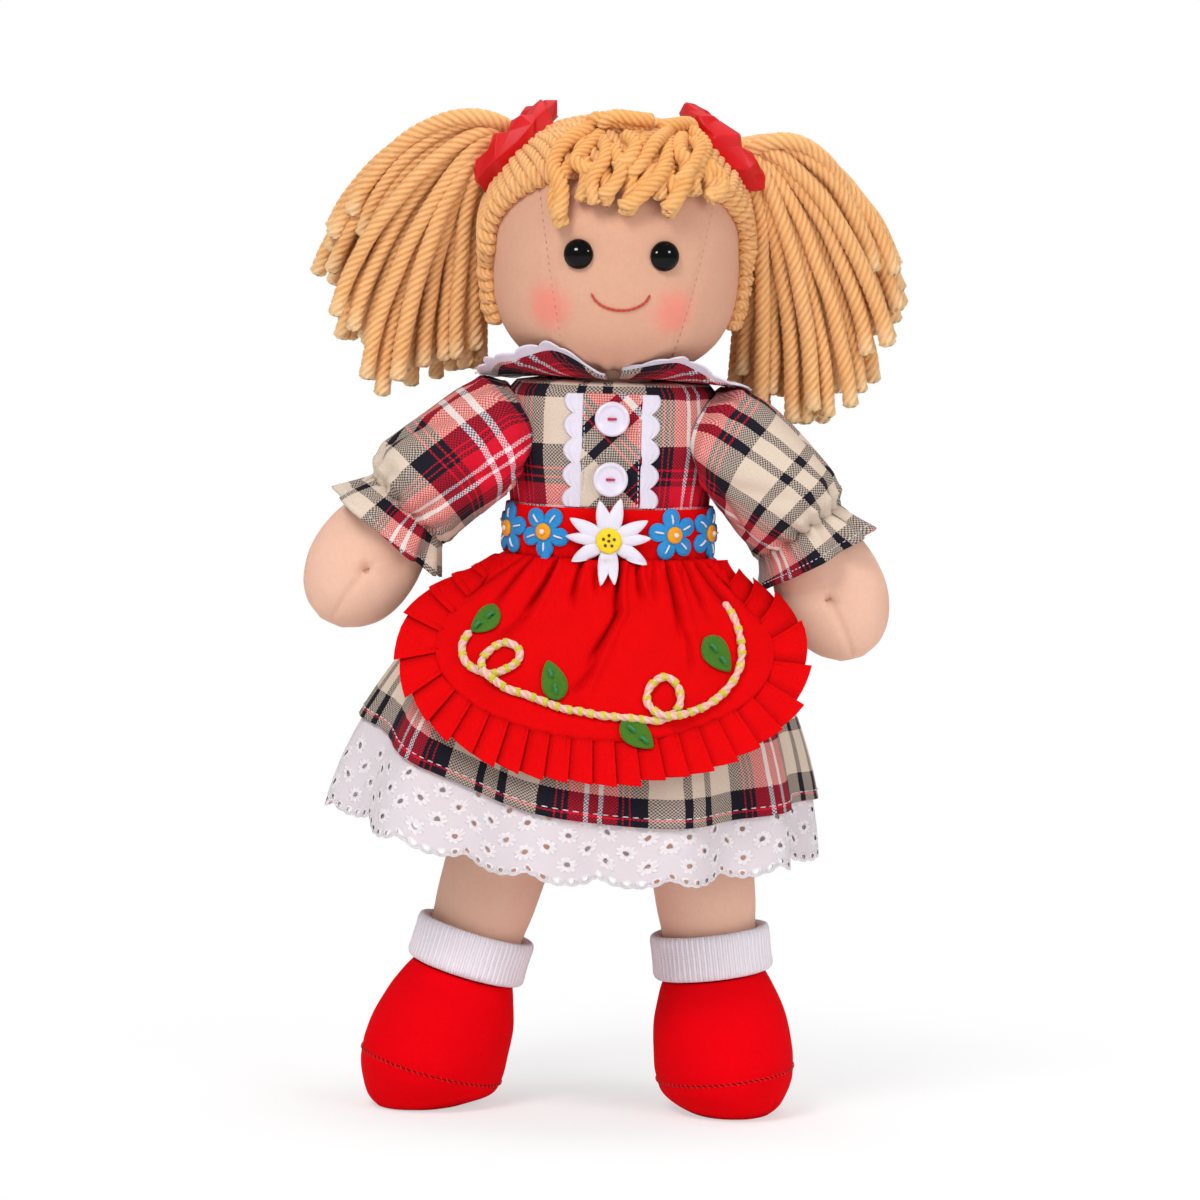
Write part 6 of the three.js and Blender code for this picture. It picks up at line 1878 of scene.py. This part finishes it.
def sleeve_point(side, word, t, turn, seed):
    """A place on the puffed sleeve, from the armhole to the gathers at the cuff."""
    a, b = bodice_at(SHOULDER_HEIGHT)
    y, z = 16.8 * math.sin(turn), 16.5 * math.cos(turn) + 1.8 * clamp(math.cos(turn))
    reach = a * math.sqrt(max(0.0, 1 - (y / b) ** 2)) + 0.6 - SHOULDER_SIDE
    root = Vector((side * reach, y, z))
    cuff = cuff_point(side, word, CUFF_AT, CUFF_RADIUS, turn)
    low, high, s = step_in(PUFFED, t)
    puff = mix(low[1], high[1], ease(s))
    swell = puff * 7.4 * mix(0.2, 1, clamp(0.5 + 0.75 * math.cos(turn)))
    out = swell + puff * 3 * abs(math.sin(turn))
    at_armhole, at_cuff = math.exp(-(t / 0.17) ** 2), math.exp(-((1 - t) / 0.15) ** 2)
    gather = 1.3 * ease(clamp(t / 0.05)) * at_armhole * math.cos(15 * turn + 1.8 * math.sin(3 * turn + seed))
    gather += 1.5 * at_cuff * math.cos(17 * turn + 1.6 * math.sin(2 * turn + seed))
    for place, depth, spread in SLEEVE_FOLDS:
        away = math.remainder(turn - place - 0.5 * math.sin(t * 2.5 + place * 3 + seed), math.tau)
        out -= 2.0 * depth * bump(away / (spread * 0.62)) * math.sin(math.pi * clamp(t * 0.92)) ** 0.6
        out += 0.6 * depth * bump((away - spread * 1.1) / (spread * 0.8)) * math.sin(math.pi * clamp(t))
    out += 1.1 * puff * wander(math.cos(turn) * 1.6, math.sin(turn) * 1.6, t * 2.4 + seed * 3)
    out += gather
    way = Vector((side * math.cos(turn) * 0.75, math.sin(turn), math.cos(turn) * 0.66))
    return root.lerp(cuff, t) + way * out + Vector((side * SHOULDER_SIDE, 0, SHOULDER_HEIGHT))


def make_sleeve(side, word):
    rows, steps = 60, 200
    table = []
    for j in range(rows + 1):
        table.append([sleeve_point(side, word, j / rows, turn, 1.0 + side) for turn in turns(steps)])
    finish = CHECK_SLEEVE_RIGHT if side < 0 else CHECK_SLEEVE_LEFT
    front, root, length = (0.78, 0.0, 5.2) if side < 0 else (2.98, 1.18, 6.2)

    def cloth(r, c):
        return (c / steps - 0.75) * 15 + front, root + r / rows * length

    made = sheet_of("sleeve_cloth_" + word, table, cloth, finish, looped=True)
    outwards(made)
    thicken(made, 1.0, 0.0)
    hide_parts("sleeve_" + word)
    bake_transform(made)
    rows, steps = 16, 260
    table = []
    for j in range(rows + 1):
        t = j / rows
        along = CUFF_AT - 0.4 + t * 11.8
        row = []
        for turn in turns(steps):
            sway = 0.4 * math.sin(2 * turn + side)
            wave = 2.6 * t * math.cos(7 * turn + sway * 5) + 0.7 * (1 - t) ** 2 * math.cos(24 * turn)
            wave += 2.0 * t * wander(math.cos(turn) * 2, math.sin(turn) * 2, t + side)
            radius = mix(15.2, 21.3, t ** 0.9) + wave
            p = cuff_point(side, word, along, radius, turn)
            row.append(p + Vector((side * SHOULDER_SIDE, 0, SHOULDER_HEIGHT)))
        table.append(row)

    def frill_cloth(r, c):
        return (c / steps - 0.75) * 15 + front, root + length + r / rows * 1.4

    made = sheet_of("cuff_frill_cloth_" + word, table, frill_cloth, finish, looped=True)
    outwards(made)
    thicken(made, 0.9, 0.0)
    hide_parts("cuff_frill_" + word)
    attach(made, "arm_" + word)
    paths = []
    count = 84
    for k in range(count):
        ends = []
        for share in (0.0, 0.55):
            i = (k + share) / count * steps
            low = int(i) % steps
            t = i - int(i)
            edge = table[rows - 3][low].lerp(table[rows - 3][(low + 1) % steps], t)
            centre, _ = limb_station(side, ARM_ANGLES[word], CUFF_AT + 9.5)
            centre = centre + Vector((side * SHOULDER_SIDE, 0, SHOULDER_HEIGHT))
            away = (edge - centre).normalized()
            ends.append(edge + away * 0.5)
        paths.append(stitch(ends[0], ends[1], 0.2, 0.42, away))
    made = sewn("cuff_stitches_" + word, paths, THREAD_WHITE, 0.45)
    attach(made, "arm_" + word)


# ---- Arms ----
# Along the arm: the share of its length, and of its half width and half depth
ARM_RINGS = [
    (0.1, 0.5, 0.62), (0.2, 0.6, 0.8), (0.33, 0.68, 0.92), (0.46, 0.75, 1), (0.56, 0.87, 1), (0.67, 0.99, 1),
    (0.78, 0.99, 0.98), (0.88, 0.84, 0.86), (0.95, 0.58, 0.62), (0.99, 0.24, 0.3),
]


# Where the thumb's dimple sits: its share of the arm's length, and how far to the side
DIMPLE_SHARE, DIMPLE_SIDE = 0.735, -0.1


def hand_dent(share, across, turn):
    """How far the thumb's dimple, its puckers and the seam to the tip draw in the front of the hand."""
    if share <= 0.4 or math.sin(turn) >= 0:
        return 0.0
    along = (share - DIMPLE_SHARE) * ARM_LENGTH
    aside = (math.cos(turn) - DIMPLE_SIDE) * across
    far = math.hypot(along, aside)
    dent = 2.0 * math.exp(-((far / 2.2) ** 2))
    dent += 0.42 * math.exp(-((far / 7.5) ** 2)) * (0.5 + 0.5 * math.cos(7 * math.atan2(along, aside) + 1.0))
    if share > DIMPLE_SHARE:
        line = (math.cos(turn) - DIMPLE_SIDE * (1 - (share - DIMPLE_SHARE) / 0.26)) * across
        dent += 0.75 * math.exp(-((line / 1.2) ** 2)) * clamp((1 - share) / 0.04)
    return dent


def make_arm(side, word):
    """A stuffed jersey arm: a mitten hand with a stitched thumb dimple, puckers and a seam to the tip."""
    rings, around = [], 96
    base = Vector((side * SHOULDER_SIDE, 0, SHOULDER_HEIGHT))
    root = (ARM_ROOT / ARM_HALF_WIDTH, ARM_ROOT / ARM_HALF_DEPTH)
    for share, across, through in smooth_table([(-4.7 / ARM_LENGTH, *root), (0.0, *root), *ARM_RINGS], 110):
        along, across, through = share * ARM_LENGTH, across * ARM_HALF_WIDTH, through * ARM_HALF_DEPTH
        if along <= 0:
            at, angle = Vector((side * along, 0, 0)), math.pi / 2
        else:
            at, angle = limb_station(side, ARM_ANGLES[word], along)
        upright = ease(clamp(1 - max(along, 0) / ARM_LENGTH / 0.36))
        angle = mix(angle, math.pi / 2, upright)
        at = at + Vector((side * 1.5 * upright if along > 0 else 0, 0, 0))
        ring = []
        for turn in turns(around):
            p = limb_point(side, at, angle, across, through, turn)
            dent = hand_dent(share, across, turn) + 0.25 * wander(p.x * 0.12, p.y * 0.12, p.z * 0.12 + side)
            away = p - at
            away = away.normalized() if away.length > 1e-6 else Vector((0, 0, 0))
            ring.append(p - away * min(dent, away.length * 4) + base)
        rings.append(ring)
    made = body_of("arm_jersey_" + word, rings, lambda r, c: (c / around * 9, r * 0.09), SKIN)
    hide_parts("arm_" + word)
    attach(made, "arm_" + word)
    at, angle = limb_station(side, ARM_ANGLES[word], DIMPLE_SHARE * ARM_LENGTH)
    hit = limb_point(side, at, angle, 18.0, 13.6, -math.acos(DIMPLE_SIDE)) + base
    knot = Vector((hit.x, hit.y + 1.6, hit.z))
    a, b = knot + Vector((-1.0, -0.1, -0.4)), knot + Vector((1.0, -0.1, 0.4))
    made = sewn("hand_stitch_" + word, [stitch(a, b, 0.5, 0.7, FRONT)], THREAD_SEAM, 0.3, pitch=2, depth=0.2, around=8)
    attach(made, "arm_" + word)


# ---- Torso, neck and hips ----
# Up the torso: the share of its height, and of its half width and half depth
TORSO_RINGS = [
    (0.015, 0.96, 0.07), (0.1, 1, 0.22), (0.2, 1, 0.44), (0.31, 0.96, 0.7), (0.42, 0.87, 0.91), (0.6, 0.86, 1),
    (0.78, 0.9, 0.95), (0.88, 0.84, 0.8), (0.96, 0.62, 0.6), (1, 0.3, 0.04),
]


def make_torso():
    rings, around = [], 90
    for rise, across, through in smooth_table(TORSO_RINGS, 60):
        z = HIP_HEIGHT + clamp(rise) * TORSO_LENGTH
        a, b = max(3, across * TORSO_HALF_WIDTH - 0.2), max(0.5, through * TORSO_HALF_DEPTH - 0.2)
        rings.append([oval(a, b, turn, z) for turn in turns(around)])
    made = body_of("torso_jersey", rings, lambda r, c: (c / around * 19, r / 60 * 10), SKIN)
    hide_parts("torso")
    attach(made, "torso")


def make_neck():
    rings, around = [], 72
    for rise, across in smooth_table([(0, 0.3), (0.14, 0.8), (0.4, 1), (0.75, 0.96), (1, 0.6)], 24):
        z = NECK_BASE + 0.3 + clamp(rise) * 10.3
        r = across * NECK_RADIUS
        rings.append([oval(r, r, turn, z) for turn in turns(around)])
    made = body_of("neck_jersey", rings, lambda r, c: (c / around * 9, r / 24), SKIN)
    made.data.transform(Matrix.Translation(cad_middle("neck") - middle_of(made)))
    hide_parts("neck")
    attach(made, "neck")


def cad_middle(name):
    low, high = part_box(name)
    return (Vector(low) + Vector(high)) / 2


def middle_of(piece):
    places = np.array([v.co for v in piece.data.vertices])
    return Vector(((places.min(0) + places.max(0)) / 2).tolist())


def make_hip_seam():
    rings, around, reach, radius = [], 40, 39, 3.2
    for k in range(around + 1):
        t = k / around
        x = mix(-reach, reach, t)
        end = min(t, 1 - t) * reach * 2
        r = radius * math.sqrt(max(0.02, 1 - (1 - clamp(end / radius)) ** 2))
        rings.append([Vector((x, r * math.cos(turn), HIP_HEIGHT + r * math.sin(turn))) for turn in turns(around)])
    made = body_of("hip_seam_jersey", rings, lambda r, c: (r / 40 * 8, c / around * 2), SKIN)
    made.data.transform(Matrix.Translation(cad_middle("hip_seam") - middle_of(made)))
    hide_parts("hip_seam")
    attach(made, "hips")


# ---- Legs, socks and shoes ----
LEG_TILTS, TOES_OUT = {"right": 15.4, "left": 7.8}, {"right": 22, "left": 4}
# Down the leg: the share of its length, and of its radius across and through
LEG_RINGS = [
    (0.02, 0.76, 0.06), (0.07, 0.86, 0.25), (0.16, 0.97, 0.6), (0.3, 1, 0.88), (0.5, 0.98, 0.96), (0.72, 0.94, 0.94),
    (0.84, 0.877, 0.877), (1, 0.877, 0.877),
]


def leg_frame(side, word):
    tilt = math.radians(LEG_TILTS[word])
    turn = Matrix.Rotation(-side * tilt, 3, "Y")
    base = Vector((HIPS_SIDEWAYS + side * HIP_SPACING, 0, HIP_HEIGHT))
    return lambda p: turn @ Vector(p) + base, tilt


def make_leg(side, word):
    place, tilt = leg_frame(side, word)
    length = HIP_HEIGHT / math.cos(tilt) - SHOE_HEIGHT
    rings, around = [], 80
    for share, across, through in smooth_table(LEG_RINGS, 50):
        a, b = across * LEG_RADIUS, max(0.6, through * LEG_RADIUS)
        ring = []
        for turn in turns(around):
            soft = 0.25 * wander(math.cos(turn) * 2, math.sin(turn) * 2, share * 5)
            ring.append(place(oval(a + soft, b + soft, turn, -share * length)))
        rings.append(ring)
    made = body_of("leg_jersey_" + word, rings, lambda r, c: (c / around * 11, r / 50 * 9), SKIN)
    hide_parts("leg_" + word)
    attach(made, "leg_" + word)
    profile = [
        (0, 0), (0.5, 0.0), (0.75, 0.02), (0.92, 0.07), (1, 0.16), (0.965, 0.34), (0.96, 0.5), (0.98, 0.7), (1, 0.86),
        (0.9, 0.965), (0.72, 1), (0.5, 0.99), (0.3, 0.97), (0.1, 0.92), (0, 0.84),
    ]
    inner, outer, bottom, height = 16.3, 20.3, -length + 0.3, 15.5
    rings, around = [], 264
    for out, up in smooth_table(profile, 60):
        ring = []
        for turn in turns(around):
            rib = 0.5 * (abs(math.cos(turn * 33)) - 0.5) * clamp(out)
            r = mix(inner, outer, clamp(out)) + rib + 0.25 * wander(math.cos(turn) * 3, math.sin(turn) * 3, up * 2)
            ring.append(place(oval(r, r, turn, bottom + clamp(up) * height)))
        rings.append(ring)
    made = sheet_of("sock_rib_" + word, rings, lambda r, c: (c / around * 12, r / 60 * 3), SOCK, looped=True)
    outwards(made)
    return_edges(made)
    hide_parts("sock_cuff_" + word)
    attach(made, "leg_" + word)


def return_edges(piece):
    """Closes the inner wall of a turned cuff between its two open edges."""
    mesh = bmesh.new()
    mesh.from_mesh(piece.data)
    edges = [e for e in mesh.edges if e.is_boundary]
    bmesh.ops.bridge_loops(mesh, edges=edges)
    bmesh.ops.recalc_face_normals(mesh, faces=mesh.faces)
    for face in mesh.faces:
        face.smooth = True
    mesh.to_mesh(piece.data)
    mesh.free()


# Down the shoe: the share of the piece's height, of its half width and half length, how far forward or level
UPPER_SHARE = 0.702
UPPER_RINGS = [
    (0.01, 0.74, 0.58, 0.1), (0.14, 0.82, 0.66, 0.3), (0.36, 0.92, 0.8, 0.65), (0.62, 0.985, 0.92, 0.9),
    (0.86, 1, 0.985, 1), (1, 0.985, 0.985, 1),
]
SOLE_RINGS = [
    (0, 0.985, 0.985, 0), (0.26, 0.95, 0.955, 0.1), (0.52, 0.86, 0.88, 0.35), (0.78, 0.72, 0.77, 0.75),
    (1, 0.5, 0.58, 1),
]


def shoe_ring(side, word, drop, wide, long, forward, around, level=0.0):
    """An outline of the shoe at a drop from its top; level turns it from the leg's tilt to the floor."""
    place, tilt = leg_frame(side, word)
    lean, toe = -side * tilt * level, side * math.radians(TOES_OUT[word])
    middle = Vector((0, 0, SHOE_HEIGHT - HIP_HEIGHT / math.cos(tilt) - drop * SHOE_HEIGHT))
    ring = []
    for turn in turns(around):
        soft = 1 + 0.012 * wander(math.cos(turn) * 2.2, math.sin(turn) * 2.2, drop * 5 + side)
        across = wide * SHOE_HALF_WIDTH * soft * math.cos(turn)
        along = long * SHOE_HALF_LENGTH * soft * math.sin(turn) - forward * SHOE_FORWARD
        x, y = across * math.cos(toe) - along * math.sin(toe), across * math.sin(toe) + along * math.cos(toe)
        ring.append(place(middle + Vector((x * math.cos(lean), y, x * math.sin(lean)))))
    return ring


def make_shoe(side, word):
    around = 120
    rings = []
    for drop, wide, long, forward in smooth_table(UPPER_RINGS, 44):
        rings.append(shoe_ring(side, word, drop * UPPER_SHARE, wide, long, forward, around))
    upper = body_of("shoe_jersey_" + word, rings, lambda r, c: (c / around * 16, r / 44 * 3.6), SHOE)
    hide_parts("shoe_upper_" + word)
    rings = []
    for drop, wide, long, level in smooth_table(SOLE_RINGS, 32):
        ring = shoe_ring(
            side, word, UPPER_SHARE + (0.3 + clamp(drop) * 14.5) / SHOE_HEIGHT, wide, long, 1, around, clamp(level)
        )
        rings.append([Vector((p.x, p.y, max(0.3, p.z))) for p in ring])
    sole = body_of("shoe_sole_jersey_" + word, rings, lambda r, c: (c / around * 16, r / 32 * 2), SHOE)
    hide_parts("shoe_sole_" + word)
    for piece in (upper, sole):
        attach(piece, "leg_" + word)
    paths, place = [], leg_frame(side, word)[0]
    count = 74
    edge = shoe_ring(side, word, UPPER_SHARE + 0.003, 0.992, 0.992, 1, count * 4)
    middle = sum(edge, Vector()) / len(edge)
    for k in range(count):
        a, b = edge[k * 4], edge[(k * 4 + 2) % len(edge)]
        out = (a - middle).normalized()
        up = place((0, 0, 1)) - place((0, 0, 0))
        paths.append(stitch(a + up * 0.55, b - up * 0.55, 0.1, 0.4, out))
    made = sewn("shoe_stitches_" + word, paths, SHOE_THREAD)
    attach(made, "leg_" + word)


# ---- The doll ----
make_head()
make_mouth()
make_face_seams()
make_fringe()
for side, word in ((-1, "right"), (1, "left")):
    make_eye(side, word)
    make_hair_cap(side, word)
    make_bunch(side, word)
    make_tie(side, word)
    make_collar(side, word)
    make_sleeve(side, word)
    make_arm(side, word)
    make_leg(side, word)
    make_shoe(side, word)
    washer = bpy.data.objects["eye_washer_" + word]
    for slot in washer.material_slots:
        slot.material = NYLON
make_torso()
make_neck()
make_hip_seam()
make_skirts()
make_waistband()
make_apron()
make_ruffle()
make_vine()
make_leaves()
make_flowers()
make_daisy()
make_bodice()
make_placket()
for word, height in (("upper", 237.0), ("lower", 216.7)):
    make_button(word, height)

# ---- Stage, camera and lights ----
bpy.ops.mesh.primitive_plane_add(size=8, location=(0, 1.5, 0))
floor = bpy.context.object
floor.name = "floor"
floor_finish, tree, shader = material("studio floor", roughness=0.9, specular=0.1)
shader.inputs["Base Color"].default_value = (0.95, 0.94, 0.94, 1)
# Paper that is plain white away from the doll and keeps its soft shadow near it
far = add(tree, "VectorMath", {0: object_place(tree), 1: (0, -1.5, 0)}, operation="DISTANCE").outputs["Value"]
fade = add(
    tree, "MapRange", {"Value": far, "From Min": 0.08, "From Max": 0.3, "To Min": 0.55, "To Max": 1.0},
    interpolation_type="SMOOTHSTEP",
)
lit = add(tree, "Emission", {"Strength": 1.0})
seen = add(tree, "LightPath")
share = times(tree, fade.outputs[0], seen.outputs["Is Camera Ray"])
paper = add(tree, "MixShader", {0: share, 1: shader.outputs[0], 2: lit.outputs[0]})
tree.links.new(paper.outputs[0], next(n for n in tree.nodes if n.type == "OUTPUT_MATERIAL").inputs[0])
floor.data.materials.append(floor_finish)

world = bpy.context.scene.world or bpy.data.worlds.new("studio")
bpy.context.scene.world = world
world.use_nodes = True
tree = world.node_tree
tree.nodes.clear()
camera_sky = add(tree, "Background", {"Color": (1, 1, 1, 1), "Strength": 1.0})
room_light = add(tree, "Background", {"Color": (1, 1, 1, 1), "Strength": 0.41})
seen = add(tree, "LightPath").outputs["Is Camera Ray"]
blend = add(tree, "MixShader", {0: seen, 1: room_light.outputs[0], 2: camera_sky.outputs[0]})
add(tree, "OutputWorld", {"Surface": blend.outputs[0]})


def soft_light(name, at, aim, size, power):
    data = bpy.data.lights.new(name, "AREA")
    data.shape = "RECTANGLE"
    data.size, data.size_y = size
    data.energy = power
    made = bpy.data.objects.new(name, data)
    bpy.context.scene.collection.objects.link(made)
    made.location = at
    made.rotation_euler = (Vector(aim) - Vector(at)).to_track_quat("-Z", "Y").to_euler()
    return made


soft_light("key", (-0.55, -1.1, 1.4), (0, 0, 0.18), (0.6, 0.6), 16.5).visible_glossy = False
soft_light("fill", (1.1, -1.2, 0.7), (0, 0, 0.18), (0.8, 1.0), 8).visible_glossy = False
soft_light("top", (0.1, 0.3, 1.5), (0, 0, 0.1), (1.2, 1.0), 9.0)
soft_light("catch light left", (-0.62, -0.95, 0.75), (0, 0, 0.28), (0.3, 0.22), 12).visible_diffuse = False
soft_light("catch light right", (0.9, -0.75, 0.7), (0, 0, 0.28), (0.22, 0.18), 6).visible_diffuse = False

camera_data = bpy.data.cameras.new("camera")
camera = bpy.data.objects.new("camera", camera_data)
bpy.context.scene.collection.objects.link(camera)
# Lens and sensor in millimetres, and the metres that the picture shows across
camera_data.lens, camera_data.sensor_width = LENS, SENSOR = 200, 36
SEEN_ACROSS = 0.408
aim, elevation, roll = placed((-2.4, 0, 173.7)), math.radians(5), math.radians(1.6)
away = SEEN_ACROSS / SENSOR * LENS
camera.location = aim + Vector((0, -math.cos(elevation), math.sin(elevation))) * away
view = (aim - camera.location).to_track_quat("-Z", "Y").to_matrix() @ Matrix.Rotation(roll, 3, "Z")
camera.rotation_euler = view.to_euler()
bpy.context.scene.camera = camera
bpy.context.scene.view_settings.view_transform = "Standard"
